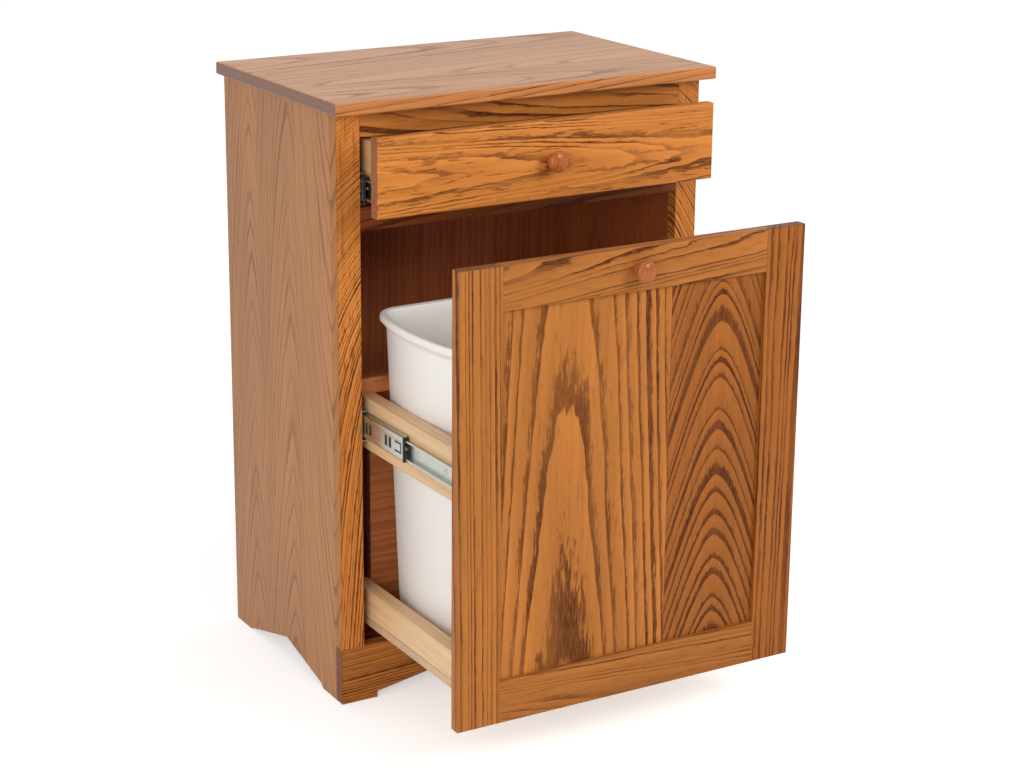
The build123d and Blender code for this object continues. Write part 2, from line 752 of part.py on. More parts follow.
def bin_outline(z, inset):
    """The outline of the bin's lip, drawn at z and inset evenly."""
    with BuildSketch(Plane((0, bin_y, z))) as outline:
        with BuildLine():
            for arc in bin_lip.edges():
                ThreePointArc(*inset_arc(arc, inset))
        make_face()
    return outline.sketch


def bin_solid(levels):
    """A solid of the bin through its outline at each pair of a height and an inset."""
    loft([bin_outline(z, inset) for z, inset in levels], ruled=True)


with BuildPart() as bin_cavity:
    cavity_r = BIN_FOOT_R - BIN_WALL
    cavity_z = bin_bottom + BIN_WALL
    above_rim = bin_top + BIN_WALL
    bin_solid((
        (cavity_z, bin_inset(cavity_z) + BIN_WALL + cavity_r),
        (cavity_z + cavity_r / 3, bin_inset(cavity_z) + BIN_WALL + cavity_r / 3),
        (cavity_z + cavity_r, bin_inset(cavity_z + cavity_r) + BIN_WALL),
        (above_rim, bin_inset(above_rim) + BIN_WALL),
    ))

with BuildPart() as waste_bin:
    bin_solid((
        (bin_bottom, bin_inset(bin_bottom) + BIN_FOOT_R),
        (bin_bottom + BIN_FOOT_R / 3, bin_inset(bin_bottom) + BIN_FOOT_R / 3),
        (bin_bottom + BIN_FOOT_R, bin_inset(bin_bottom + BIN_FOOT_R)),
        (bin_neck, bin_inset(bin_neck)),
        (bin_lip_z, 0),
        (bin_top - BIN_RIM_EASE, 0),
        (bin_top, BIN_RIM_EASE),
    ))
    add(bin_cavity.part, mode=Mode.SUBTRACT)
finish(waste_bin, "bin")
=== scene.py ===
"""Dresses the pull out trash cabinet: stained oak case and door, pale rack, zinc slides and a white bin."""

from math import cos, pi, radians, sin

import bmesh
import bpy
from mathutils import Matrix, Vector


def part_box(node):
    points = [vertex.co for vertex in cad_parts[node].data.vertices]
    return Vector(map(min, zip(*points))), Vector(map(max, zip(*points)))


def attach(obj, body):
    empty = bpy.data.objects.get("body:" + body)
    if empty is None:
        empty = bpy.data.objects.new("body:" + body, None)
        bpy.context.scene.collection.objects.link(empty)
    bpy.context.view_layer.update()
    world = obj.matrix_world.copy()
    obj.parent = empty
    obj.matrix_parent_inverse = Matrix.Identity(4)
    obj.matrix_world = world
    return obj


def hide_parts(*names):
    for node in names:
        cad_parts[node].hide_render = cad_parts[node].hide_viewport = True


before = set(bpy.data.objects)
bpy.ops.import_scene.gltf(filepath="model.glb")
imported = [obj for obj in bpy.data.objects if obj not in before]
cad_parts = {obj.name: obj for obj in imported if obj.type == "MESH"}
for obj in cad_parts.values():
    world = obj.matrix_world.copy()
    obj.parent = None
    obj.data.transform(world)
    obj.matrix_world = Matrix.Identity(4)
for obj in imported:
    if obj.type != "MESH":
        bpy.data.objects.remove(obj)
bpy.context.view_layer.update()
scene = bpy.context.scene
scene.view_settings.view_transform = "Standard"

# stains, woods and finishes, as linear colours
OAK_LIGHT = (0.580, 0.203, 0.041)
OAK_DARK = (0.072, 0.014, 0.003)
RED_OAK_LIGHT = (0.570, 0.180, 0.032)
# the side panels' colours are the oak made duller, greyer and flatter: painted shade and painted sheen for the
# sides the lamps light less
SHADED_SIDE_LIGHT = (0.440, 0.176, 0.045)
SHADED_SIDE_DARK = (0.260, 0.096, 0.030)
# the top's colours are the oak made paler and flatter: painted sheen, the white surroundings mirrored in the top
SHEEN_TOP_LIGHT = (0.600, 0.243, 0.060)
SHEEN_TOP_DARK = (0.330, 0.115, 0.032)
INSIDE_LIGHT = (0.470, 0.120, 0.036)
INSIDE_DARK = (0.350, 0.080, 0.024)
BOARD_LIGHT = (0.520, 0.180, 0.054)
BOARD_DARK = (0.380, 0.110, 0.030)
PALE_LIGHT = (0.780, 0.510, 0.270)
PALE_DARK = (0.680, 0.430, 0.225)
GOLDEN_LIGHT = (0.700, 0.430, 0.200)
GOLDEN_DARK = (0.520, 0.270, 0.100)
KNOB_LIGHT = (0.44, 0.125, 0.020)
KNOB_DARK = (0.33, 0.082, 0.013)
END_GRAIN = (0.34, 0.36, 0.80)
BIN_WHITE = (0.935, 0.905, 0.860)
ZINC = (0.560, 0.580, 0.520)
BRIGHT_STEEL = (0.620, 0.620, 0.600)
DARK_STEEL = (0.050, 0.050, 0.048)
BLACK = (0.012, 0.012, 0.013)
FLOOR_GREY = (0.86, 0.86, 0.86)
WHITE = (1.0, 1.0, 1.0)

# ------------------------------------------------------------------ camera and light
# the lens is in pixels of a picture FRAME_W wide, places in metres, angles in radians
LENS_PX = 2313.46
FRAME_W = 1024
SENSOR_MM = 36.0
LENS_SHIFT = (0.0737, -0.05)
CAMERA_PLACE = (-1.7194, -2.8639, 1.4936)
TILT_DOWN = 0.2811
TURN_RIGHT = 0.5058

camera_data = bpy.data.cameras.new("photo camera")
camera_data.sensor_width = SENSOR_MM
camera_data.lens = SENSOR_MM * LENS_PX / FRAME_W
camera_data.shift_x, camera_data.shift_y = LENS_SHIFT
camera = bpy.data.objects.new("photo camera", camera_data)
camera.location = CAMERA_PLACE
camera.rotation_euler = (pi / 2 - TILT_DOWN, 0.0, -TURN_RIGHT)
scene.collection.objects.link(camera)
scene.camera = camera


def area_light(name, place, target, size, watts):
    """A square soft light at place that faces target."""
    data = bpy.data.lights.new(name, "AREA")
    data.shape = "SQUARE"
    data.size = size
    data.energy = watts
    lamp = bpy.data.objects.new(name, data)
    lamp.location = place
    lamp.rotation_euler = (Vector(target) - Vector(place)).to_track_quat("-Z", "Y").to_euler()
    scene.collection.objects.link(lamp)


area_light("key softbox", (1.3, -2.6, 2.3), (0.0, -0.1, 0.45), size=1.2, watts=40)
area_light("fill softbox", (-2.5, -2.2, 1.2), (0.0, 0.0, 0.45), size=1.6, watts=36)


# ------------------------------------------------------------------ wiring of nodes
class Wiring:
    """Adds nodes to a tree. A value may be a number, a tuple or another node's output."""

    def __init__(self, tree):
        self.tree = tree

    def node(self, kind, settings=None, **values):
        """A node with its settings, and its inputs by name, where _ stands for a space."""
        made = self.tree.nodes.new("ShaderNode" + kind)
        for key, value in (settings or {}).items():
            setattr(made, key, value)
        for key, value in values.items():
            self.plug(made.inputs[key.replace("_", " ")], value)
        return made

    def plug(self, socket, value):
        """Links a node's output to a socket, or sets the socket to a number, vector or colour."""
        if isinstance(value, bpy.types.NodeSocket):
            self.tree.links.new(value, socket)
        elif socket.type == "RGBA" and len(value) == 3:
            socket.default_value = (*value, 1.0)
        else:
            socket.default_value = value

    def math(self, operation, *values, clamp=False):
        """The output of a Math node."""
        made = self.node("Math", {"operation": operation, "use_clamp": clamp})
        for socket, value in zip(made.inputs, values):
            self.plug(socket, value)
        return made.outputs[0]

    def vector(self, operation, *values, scale=None):
        """The output of a Vector Math node, which for a dot product is a number."""
        made = self.node("VectorMath", {"operation": operation})
        for socket, value in zip(made.inputs, values):
            self.plug(socket, value)
        if scale is not None:
            self.plug(made.inputs["Scale"], scale)
        return made.outputs["Value" if operation == "DOT_PRODUCT" else "Vector"]

    def noise(self, place, stretch, detail=2.0, roughness=0.5):
        """Smooth noise from 0 to 1 at place, with so many lumps per metre along each axis."""
        scaled = self.vector("MULTIPLY", place, stretch)
        made = self.node("TexNoise", {"noise_dimensions": "3D"}, Vector=scaled, Scale=1.0, Detail=detail)
        self.plug(made.inputs["Roughness"], roughness)
        return made.outputs["Fac"]

    def ramp(self, value, low, high, at_low=0.0, at_high=1.0):
        """A smooth step from at_low to at_high while value goes from low to high."""
        made = self.node("MapRange", {"interpolation_type": "SMOOTHSTEP"}, Value=value)
        for name, amount in (("From Min", low), ("From Max", high), ("To Min", at_low), ("To Max", at_high)):
            self.plug(made.inputs[name], amount)
        return made.outputs[0]

    def blend(self, factor, a, b):
        """Colour a turned towards colour b."""
        made = self.node("Mix", {"data_type": "RGBA"})
        # a Mix node's colours are its inputs 6 and 7 and its output 2
        for index, value in ((0, factor), (6, a), (7, b)):
            self.plug(made.inputs[index], value)
        return made.outputs[2]


def node_group(name, inputs, outputs):
    """An empty node group, its wiring and its sockets: (name, kind, default) in, (name, kind) out."""
    tree = bpy.data.node_groups.new(name, "ShaderNodeTree")
    for label, kind, default in inputs:
        socket = tree.interface.new_socket(label, in_out="INPUT", socket_type="NodeSocket" + kind)
        socket.default_value = (*default, 1.0) if kind == "Color" else default
    for label, kind in outputs:
        tree.interface.new_socket(label, in_out="OUTPUT", socket_type="NodeSocket" + kind)
    into = tree.nodes.new("NodeGroupInput")
    out = tree.nodes.new("NodeGroupOutput")
    return tree, Wiring(tree), into.outputs, out.inputs


# ------------------------------------------------------------------ wood
# how fine each unevenness of the wood is: lumps per metre across, into and along the board
BOARD_DRIFT = (7.0, 7.0, 1.6)
RING_DRIFT = (34.0, 34.0, 8.0)
RING_TEARS = (110.0, 110.0, 34.0)
PORE_DASHES = (620.0, 620.0, 62.0)
PORE_TUFTS = (240.0, 240.0, 26.0)
FAINT_PATCHES = (30.0, 30.0, 5.0)
FLECK_STREAKS = (230.0, 230.0, 22.0)
TONE_CLOUDS = (9.0, 9.0, 1.3)
TONE_STREAKS = (130.0, 130.0, 3.0)


def timber_figure():
    """The figure of sawn wood: growth rings round a pith, cut by the board's faces, and pores along the grain.

    Position is in metres: X across the board, Y into it and Z along it, from the middle of the shown face.
    """
    tree, w, given, result = node_group(
        "Timber figure",
        (
            ("Position", "Vector", (0.0, 0.0, 0.0)),
            ("Board width", "Float", 10.0),
            ("Board variety", "Float", 0.0),
            ("Pith across", "Float", 0.0),
            ("Pith depth", "Float", 0.1),
            ("Ring width", "Float", 0.005),
            ("Taper", "Float", 0.1),
            ("Peak", "Float", 0.0),
            ("Lean", "Float", 0.0),
            ("Bend", "Float", 0.0),
            ("Bend start", "Float", 0.0),
            ("Wander", "Float", 0.004),
            ("Patchy", "Float", 0.4),
            ("Early wood", "Float", 0.35),
            ("Fray", "Float", 0.3),
            ("Pores", "Float", 0.5),
            ("Flecks", "Float", 0.3),
            ("Seed", "Float", 0.0),
            ("Light", "Color", OAK_LIGHT),
            ("Dark", "Color", OAK_DARK),
        ),
        (("Color", "Color"), ("Dark mask", "Float"), ("Height", "Float")),
    )
    parts = w.node("SeparateXYZ", Vector=given["Position"])
    across, depth, along = parts.outputs
    # a glued panel's boards each have their own pith
    index = w.math("ROUND", w.math("DIVIDE", across, given["Board width"]))
    own_across = w.math("SUBTRACT", across, w.math("MULTIPLY", index, given["Board width"]))
    own_seed = w.math("MULTIPLY_ADD", index, 7.31, given["Seed"])
    dice = w.node("TexWhiteNoise", {"noise_dimensions": "1D"}, W=own_seed)
    throws = w.node("SeparateColor", Color=dice.outputs["Color"])
    variety = given["Board variety"]
    swing = w.math("MULTIPLY", w.math("SUBTRACT", throws.outputs[0], 0.5), given["Board width"])
    pith_x = w.math("MULTIPLY_ADD", swing, variety, given["Pith across"])
    deeper = w.math("MULTIPLY", w.math("SUBTRACT", throws.outputs[1], 0.5), variety)
    pith_y = w.math("MULTIPLY_ADD", given["Pith depth"], deeper, given["Pith depth"])
    run = w.math("MULTIPLY_ADD", w.math("MULTIPLY", throws.outputs[2], variety), 3.0, along)
    # one board in two has its arches upside down
    side = w.math("SIGN", w.math("SUBTRACT", w.math("FRACT", w.math("MULTIPLY", throws.outputs[2], 7.0)), 0.5))
    flip = w.math("MULTIPLY_ADD", w.math("SUBTRACT", side, 1.0), variety, 1.0)
    taper = w.math("MULTIPLY", given["Taper"], flip)

    # each board is cut from its own place in the unevenness of the wood
    offset = w.math("MULTIPLY_ADD", w.math("MULTIPLY", index, variety), 3.7, given["Seed"])
    offset_y, offset_z = w.math("MULTIPLY", offset, 1.7), w.math("MULTIPLY", offset, 2.3)
    offsets = w.node("CombineXYZ", X=offset, Y=offset_y, Z=offset_z)
    place = w.vector("ADD", given["Position"], offsets.outputs[0])
    # the pith may lean across the board, and the rings bend over towards the board's upper end
    pith_x = w.math("MULTIPLY_ADD", given["Lean"], along, pith_x)
    above = w.math("MAXIMUM", w.math("SUBTRACT", along, given["Bend start"]), 0.0)
    bent = w.math("MULTIPLY", given["Bend"], w.math("POWER", above, 4.0))
    # the rings lie at equal radii from the pith
    du = w.math("SUBTRACT", own_across, pith_x)
    dv = w.math("ADD", depth, w.math("MULTIPLY", pith_y, -1.0))
    radius = w.math("SQRT", w.math("ADD", w.math("MULTIPLY", du, du), w.math("MULTIPLY", dv, dv)))
    radius = w.math("MULTIPLY_ADD", w.math("ABSOLUTE", du), given["Peak"], radius)
    radius = w.math("ADD", w.math("MULTIPLY_ADD", taper, run, radius), bent)
    # and wander, slowly along the board and more quickly across it
    slow = w.math("SUBTRACT", w.noise(place, BOARD_DRIFT, 1.0), 0.5)
    quick = w.math("SUBTRACT", w.noise(place, RING_DRIFT, 2.0), 0.5)
    drift = w.math("MULTIPLY_ADD", quick, 0.22, slow)
    torn = w.math("SUBTRACT", w.noise(place, RING_TEARS, 1.0), 0.5)
    drift = w.math("MULTIPLY_ADD", torn, 0.10, drift)
    radius = w.math("MULTIPLY_ADD", drift, w.math("MULTIPLY", given["Wander"], 2.0), radius)
    rings = w.math("DIVIDE", radius, given["Ring width"])
    # good years have wide rings and poor years narrow ones
    count = w.math("ADD", rings, offset)
    years = w.node("TexNoise", {"noise_dimensions": "1D"}, W=count, Scale=0.6, Detail=0.0)
    rings = w.math("MULTIPLY_ADD", years.outputs["Fac"], 1.1, rings)
    phase = w.math("FRACT", rings)

    # pores are short dashes along the grain, dense in the early wood
    dashes = w.noise(place, PORE_DASHES, 2.0, 0.6)
    tufts = w.noise(place, PORE_TUFTS, 2.0, 0.6)
    ragged = w.math("ADD", w.math("MULTIPLY", w.math("SUBTRACT", tufts, 0.5), 1.6),
                    w.math("MULTIPLY", w.math("SUBTRACT", dashes, 0.5), 1.2))
    # no two years are alike: some bands are wide and dark, some thin, and each comes and goes along the board
    year_seed = w.math("ADD", w.math("FLOOR", rings), given["Seed"])
    year = w.node("TexWhiteNoise", {"noise_dimensions": "1D"}, W=year_seed)
    luck = year.outputs["Value"]
    early = w.math("MULTIPLY", given["Early wood"], w.math("MULTIPLY_ADD", luck, 0.9, 0.5))
    end = w.math("MULTIPLY_ADD", ragged, given["Fray"], early)
    fade = w.ramp(phase, w.math("SUBTRACT", end, 0.05), w.math("ADD", end, 0.07), 1.0, 0.0)
    start = w.ramp(phase, 0.0, 0.035)
    patch = w.ramp(w.noise(place, FAINT_PATCHES, 2.0), 0.34, 0.60, 1.0, 0.0)
    vigour = w.math("SUBTRACT", 1.0, w.math("MULTIPLY", given["Patchy"], patch))
    vigour = w.math("MULTIPLY", vigour, w.math("MULTIPLY_ADD", luck, 0.20, 0.80))
    band = w.math("MULTIPLY", w.math("MULTIPLY", fade, start), vigour)
    pitted = w.ramp(dashes, 0.30, 0.62, 1.0, 0.0)
    band = w.math("MULTIPLY", band, w.math("MULTIPLY_ADD", pitted, 0.35, 0.74))
    loose = w.math("MULTIPLY", w.ramp(dashes, 0.36, 0.24), given["Pores"])
    # the late wood darkens a little towards the end of its year
    haze = w.math("MULTIPLY", w.ramp(phase, 1.0, 0.25), 0.16)
    # flecks are short dark streaks anywhere in the board
    streak = w.ramp(w.noise(place, FLECK_STREAKS, 2.0, 0.6), 0.43, 0.33)
    streak = w.math("MULTIPLY", streak, given["Flecks"])
    streak = w.math("MULTIPLY", streak, w.math("MULTIPLY_ADD", pitted, 0.6, 0.4))
    loose = w.math("MAXIMUM", w.math("MULTIPLY", loose, 0.7), streak)
    dark = w.math("MAXIMUM", band, loose)
    dark = w.math("ADD", dark, w.math("MULTIPLY", haze, w.math("SUBTRACT", 1.0, dark)), clamp=True)

    # the stain takes unevenly, in clouds and in long streaks
    colour = w.blend(dark, given["Light"], given["Dark"])
    tone = w.ramp(w.noise(place, TONE_CLOUDS, 2.0), 0.3, 0.7, 0.90, 1.10)
    streaks = w.ramp(w.noise(place, TONE_STREAKS, 2.0), 0.3, 0.7, 0.94, 1.06)
    colour = w.vector("SCALE", colour, scale=w.math("MULTIPLY", tone, streaks))
    w.plug(result["Color"], colour)
    w.plug(result["Dark mask"], dark)
    # the pores are open and the early wood is a little hollow
    open_pores = w.math("MULTIPLY_ADD", pitted, 0.5, 0.5)
    w.plug(result["Height"], w.math("MULTIPLY", open_pores, w.math("MULTIPLY", dark, -1.0)))
    return tree


def board_edges():
    """A mask of a board's edges: 1 on the edge, 0 beyond the width. Corners are the board's box in metres."""
    tree, w, given, result = node_group(
        "Board edges",
        (
            ("Position", "Vector", (0.0, 0.0, 0.0)),
            ("Low corner", "Vector", (0.0, 0.0, 0.0)),
            ("High corner", "Vector", (1.0, 1.0, 1.0)),
            ("Width", "Float", 0.0015),
        ),
        (("Mask", "Float"),),
    )
    low = w.vector("ABSOLUTE", w.vector("SUBTRACT", given["Position"], given["Low corner"]))
    high = w.vector("ABSOLUTE", w.vector("SUBTRACT", given["High corner"], given["Position"]))
    near = w.node("SeparateXYZ", Vector=w.vector("MINIMUM", low, high))
    x, y, z = near.outputs
    # the middle one of the three distances is the distance to the nearest edge
    middle = w.math("MAXIMUM", w.math("MINIMUM", x, y), w.math("MINIMUM", w.math("MAXIMUM", x, y), z))
    w.plug(result["Mask"], w.ramp(middle, 0.0, given["Width"], 1.0, 0.0))
    return tree


TIMBER = timber_figure()
EDGES = board_edges()

# for each way a board can lie, its directions in the cabinet: across it, into it and along it
LIES = {
    "upright": ((1, 0, 0), (0, 1, 0), (0, 0, 1)),
    "rail": ((0, 0, 1), (0, 1, 0), (-1, 0, 0)),
    "left side": ((0, -1, 0), (1, 0, 0), (0, 0, 1)),
    "right side": ((0, 1, 0), (-1, 0, 0), (0, 0, 1)),
    "flat": ((0, -1, 0), (0, 0, -1), (1, 0, 0)),
    "left runner": ((0, 0, 1), (1, 0, 0), (0, 1, 0)),
    "right runner": ((0, 0, 1), (-1, 0, 0), (0, -1, 0)),
    "flat deep": ((1, 0, 0), (0, 0, -1), (0, 1, 0)),
}


def shown_face(lie, low, high):
    """The middle of the face that a board shows."""
    middle = (low + high) / 2
    into = Vector(LIES[lie][1])
    for axis in range(3):
        if into[axis]:
            middle[axis] = low[axis] if into[axis] > 0 else high[axis]
    return middle


def new_material(name):
    """An empty material, its wiring, and its shader joined to the output."""
    material = bpy.data.materials.new(name)
    material.use_nodes = True
    tree = material.node_tree
    tree.nodes.clear()
    shader = tree.nodes.new("ShaderNodeBsdfPrincipled")
    out = tree.nodes.new("ShaderNodeOutputMaterial")
    tree.links.new(shader.outputs[0], out.inputs["Surface"])
    return material, Wiring(tree), shader


def board_place(w, place, lie, low, high):
    """The position on a board that the timber figure takes: across, into and along it from its shown face."""
    turn = Matrix(LIES[lie])
    shift = -(turn @ shown_face(lie, low, high))
    mapping = w.node("Mapping", {"vector_type": "POINT"}, Vector=place, Location=tuple(shift))
    mapping.inputs["Rotation"].default_value = turn.to_euler()
    return mapping.outputs[0]


def timber(w, place, light, dark, figure):
    """A timber figure's node with its values set by name."""
    group = w.node("Group", {"node_tree": TIMBER}, Position=place, Light=light, Dark=dark)
    for key, value in figure.items():
        w.plug(group.inputs[key.replace("_", " ")], value)
    return group


def turned_towards(w, direction, either_way=False):
    """A mask of the faces that look along a direction, or also of those that look against it."""
    facing = w.vector("DOT_PRODUCT", w.node("TexCoord").outputs["Normal"], direction)
    return w.ramp(w.math("ABSOLUTE", facing) if either_way else facing, *TURNED)


PORE_DEPTH = 0.00018
OAK_SHINE = 0.11
LACQUER_ROUGHNESS = 0.18
# how much rougher the dark early wood is, and how much darker a worn edge
DARK_ROUGHER = 0.16
EDGE_DARKER = 0.8
# the stain of a side panel's inner face comes in between these distances from that face
INNER_STAIN = (0.0012, 0.0004)
# a face begins to look along a direction at the first of these cosines, and does so fully at the second
TURNED = (0.75, 0.97)


def wood(name, lie, low, high, light, dark, edge=0.35, gloss=0.38, shine=0.45, coat=0.0, pore_depth=PORE_DEPTH,
         ends=0.8, behind=None, front=None, flank=None, **figure):
    """A lacquered wood for the board whose box is low to high, its figure given by the group's inputs.

    gloss is its roughness and shine how much it mirrors. The edges are darker by edge and the end grain by ends.
    behind and front are the light and dark stains of the face that the board turns inwards and of its front
    edge. flank is the board beside it, whose figure runs on over its side edge.
    """
    material, w, shader = new_material(name)
    place = w.node("TexCoord").outputs["Object"]
    spot = board_place(w, place, lie, low, high)
    if behind:
        thick = max((high - low)[axis] for axis in range(3) if LIES[lie][1][axis])
        depth = w.node("SeparateXYZ", Vector=spot).outputs[1]
        inner = w.ramp(depth, thick - INNER_STAIN[0], thick - INNER_STAIN[1])
        light, dark = w.blend(inner, light, behind[0]), w.blend(inner, dark, behind[1])
    if front:
        ahead = turned_towards(w, (0, -1, 0))
        light, dark = w.blend(ahead, light, front[0]), w.blend(ahead, dark, front[1])
    group = timber(w, spot, light, dark, figure)
    colour, mask, height = group.outputs
    if flank:
        spot_beside = board_place(w, place, flank["lie"], *flank["box"])
        beside = timber(w, spot_beside, flank["light"], flank["dark"], flank["figure"])
        over = turned_towards(w, flank["outwards"])
        colour = w.blend(over, colour, beside.outputs[0])
        mask = w.math("ADD", w.math("MULTIPLY", beside.outputs[1], over),
                      w.math("MULTIPLY", mask, w.math("SUBTRACT", 1.0, over)))
    edges = w.node("Group", {"node_tree": EDGES}, Position=place, Low_corner=tuple(low), High_corner=tuple(high))
    line = w.math("MULTIPLY", edges.outputs["Mask"], edge)
    colour = w.vector("SCALE", colour, scale=w.math("MULTIPLY_ADD", line, -EDGE_DARKER, 1.0))
    cut = w.math("MULTIPLY", turned_towards(w, LIES[lie][2], either_way=True), ends)
    colour = w.blend(cut, colour, w.vector("MULTIPLY", light, END_GRAIN))
    w.plug(shader.inputs["Base Color"], colour)
    w.plug(shader.inputs["Roughness"], w.math("MULTIPLY_ADD", mask, DARK_ROUGHER, gloss))
    shader.inputs["Specular IOR Level"].default_value = shine
    shader.inputs["Coat Weight"].default_value = coat
    shader.inputs["Coat Roughness"].default_value = LACQUER_ROUGHNESS
    w.plug(shader.inputs["Normal"], w.node("Bump", Height=height, Distance=pore_depth).outputs[0])
    return material


def dress(node, material):
    """Gives a CAD node its material."""
    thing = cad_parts[node]
    if not thing.material_slots:
        thing.data.materials.append(material)
    for slot in thing.material_slots:
        slot.material = material


def dress_board(node, lie, light, dark, tone=1.0, **figure):
    """Gives a CAD board its own wood, lighter or darker than its neighbours by tone."""
    low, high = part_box(node)
    light = tuple(tone * c for c in light)
    dress(node, wood("wood " + node, lie, Vector(low), Vector(high), light, dark, **figure))


# case and top, glued up from boards
case_figure = dict(
    Flecks=0.1, Board_width=0.135, Board_variety=1.0, Pith_depth=0.07, Ring_width=0.0075, Taper=0.12, Peak=0.2,
    Wander=0.006, Early_wood=0.22, Patchy=0.6,
)
# what each stile's outer edge carries on from the side panel behind it, painted shade and sheen included
flanks = {}
for side, seed, outwards in (("left", 13.4, (-1, 0, 0)), ("right", 14.4, (1, 0, 0))):
    panel = side + "_side_panel"
    figure = dict(case_figure, Seed=seed)
    dress_board(
        panel, side + " side", SHADED_SIDE_LIGHT, SHADED_SIDE_DARK, **figure, edge=0.0, gloss=0.42,
        behind=(INSIDE_LIGHT, INSIDE_DARK),
    )
    flanks[side] = dict(
        lie=side + " side", outwards=outwards, box=[Vector(c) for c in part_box(panel)],
        light=SHADED_SIDE_LIGHT, dark=SHADED_SIDE_DARK, figure=figure,
    )
# the top's faces take the painted-sheen copy of the oak, and its front edge the oak itself
dress_board(
    "top_board", "flat", SHEEN_TOP_LIGHT, SHEEN_TOP_DARK, edge=0.1, gloss=0.34, ends=1.0, front=(OAK_LIGHT, OAK_DARK),
    Board_width=0.13, Board_variety=1.0, Pith_depth=0.08, Ring_width=0.0085, Taper=0.06, Wander=0.006,
    Early_wood=0.22, Patchy=0.6, Flecks=0.15, Seed=15.1,
)

# front boards, each with its own figure and tone
oak = dict(light=OAK_LIGHT, dark=OAK_DARK, shine=OAK_SHINE)
red_oak = dict(oak, light=RED_OAK_LIGHT)
# face frame
dress_board(
    "left_stile", "upright", **oak, flank=flanks["left"], tone=1.34,
    Pith_across=0.20, Pith_depth=0.05, Ring_width=0.0050, Taper=0.08, Bend=0.85, Bend_start=-0.40,
    Wander=0.005, Early_wood=0.38, Fray=0.5, Flecks=0.6, Seed=1.3,
)
dress_board(
    "right_stile", "upright", **oak, flank=flanks["right"], tone=1.12,
    Pith_across=-0.16, Pith_depth=0.04, Ring_width=0.0060, Taper=0.30, Lean=0.1, Bend=0.5, Bend_start=-0.40,
    Wander=0.006, Early_wood=0.34, Seed=2.1,
)
dress_board(
    "top_rail", "rail", **oak, tone=0.95, Pith_across=0.03, Pith_depth=0.08, Ring_width=0.006, Taper=0.05,
    Wander=0.006, Early_wood=0.26, Patchy=0.8, Seed=3.7,
)
# the mid rail is face-frame oak like the other rails; its inside stain at half tone is painted shade, the shade
# under the drawer front
dress_board(
    "mid_rail", "rail", **dict(oak, light=INSIDE_LIGHT), tone=0.50,
    Pith_across=-0.04, Pith_depth=0.07, Ring_width=0.006, Taper=0.04,
    Wander=0.006, Early_wood=0.28, Patchy=0.8, Seed=4.9,
)
dress_board(
    "base_rail", "rail", **oak, tone=0.84, Pith_across=-0.12, Pith_depth=0.05, Ring_width=0.0042, Taper=0.03,
    Wander=0.006, Early_wood=0.38, Flecks=0.6, Patchy=0.6, Seed=5.2,
)
# door
dress_board(
    "door_left_stile", "upright", **oak, tone=0.82,
    Pith_across=-0.30, Pith_depth=0.10, Ring_width=0.0078, Taper=0.012,
    Wander=0.004, Early_wood=0.28, Patchy=0.5, Seed=6.4,
)
dress_board(
    "door_right_stile", "upright", **red_oak, tone=0.69,
    Pith_across=-0.10, Pith_depth=0.05, Ring_width=0.0085, Taper=0.03, Lean=0.05,
    Wander=0.011, Early_wood=0.40, Fray=0.5, Patchy=0.6, Seed=7.8,
)
dress_board(
    "door_top_rail", "rail", **oak, tone=0.83,
    Pith_across=0.035, Pith_depth=0.07, Ring_width=0.0055, Taper=-0.05,
    Wander=0.008, Early_wood=0.28, Patchy=0.7, Seed=8.2,
)
dress_board(
    "door_bottom_rail", "rail", **oak, tone=0.70,
    Pith_across=-0.045, Pith_depth=0.07, Ring_width=0.0055, Taper=-0.04,
    Wander=0.008, Early_wood=0.28, Patchy=0.7, Seed=9.6,
)
dress_board(
    "drawer_front", "rail", **oak, tone=1.22,
    Pith_across=-0.006, Pith_depth=0.055, Ring_width=0.0056, Taper=-0.022,
    Wander=0.010, Early_wood=0.36, Fray=0.6, Flecks=0.75, Patchy=0.85, Seed=10.5,
)

# the panel's two boards meet at a glue line
PANEL_SEAM = 0.060
PANEL_FIGURES = (
    # the middle of each board's figure, its tone and its stain
    (-0.075, 0.86, OAK_LIGHT, dict(
        Pith_across=-0.030, Pith_depth=0.155, Ring_width=0.0096, Taper=0.031,
        Wander=0.006, Early_wood=0.30, Fray=0.50, Patchy=0.30, Seed=11.2,
    )),
    (0.140, 0.62, RED_OAK_LIGHT, dict(
        Pith_across=0.004, Pith_depth=0.045, Ring_width=0.0108, Taper=0.34, Peak=0.10,
        Wander=0.004, Early_wood=0.33, Fray=0.30, Patchy=0.2, Seed=12.9,
    )),
)


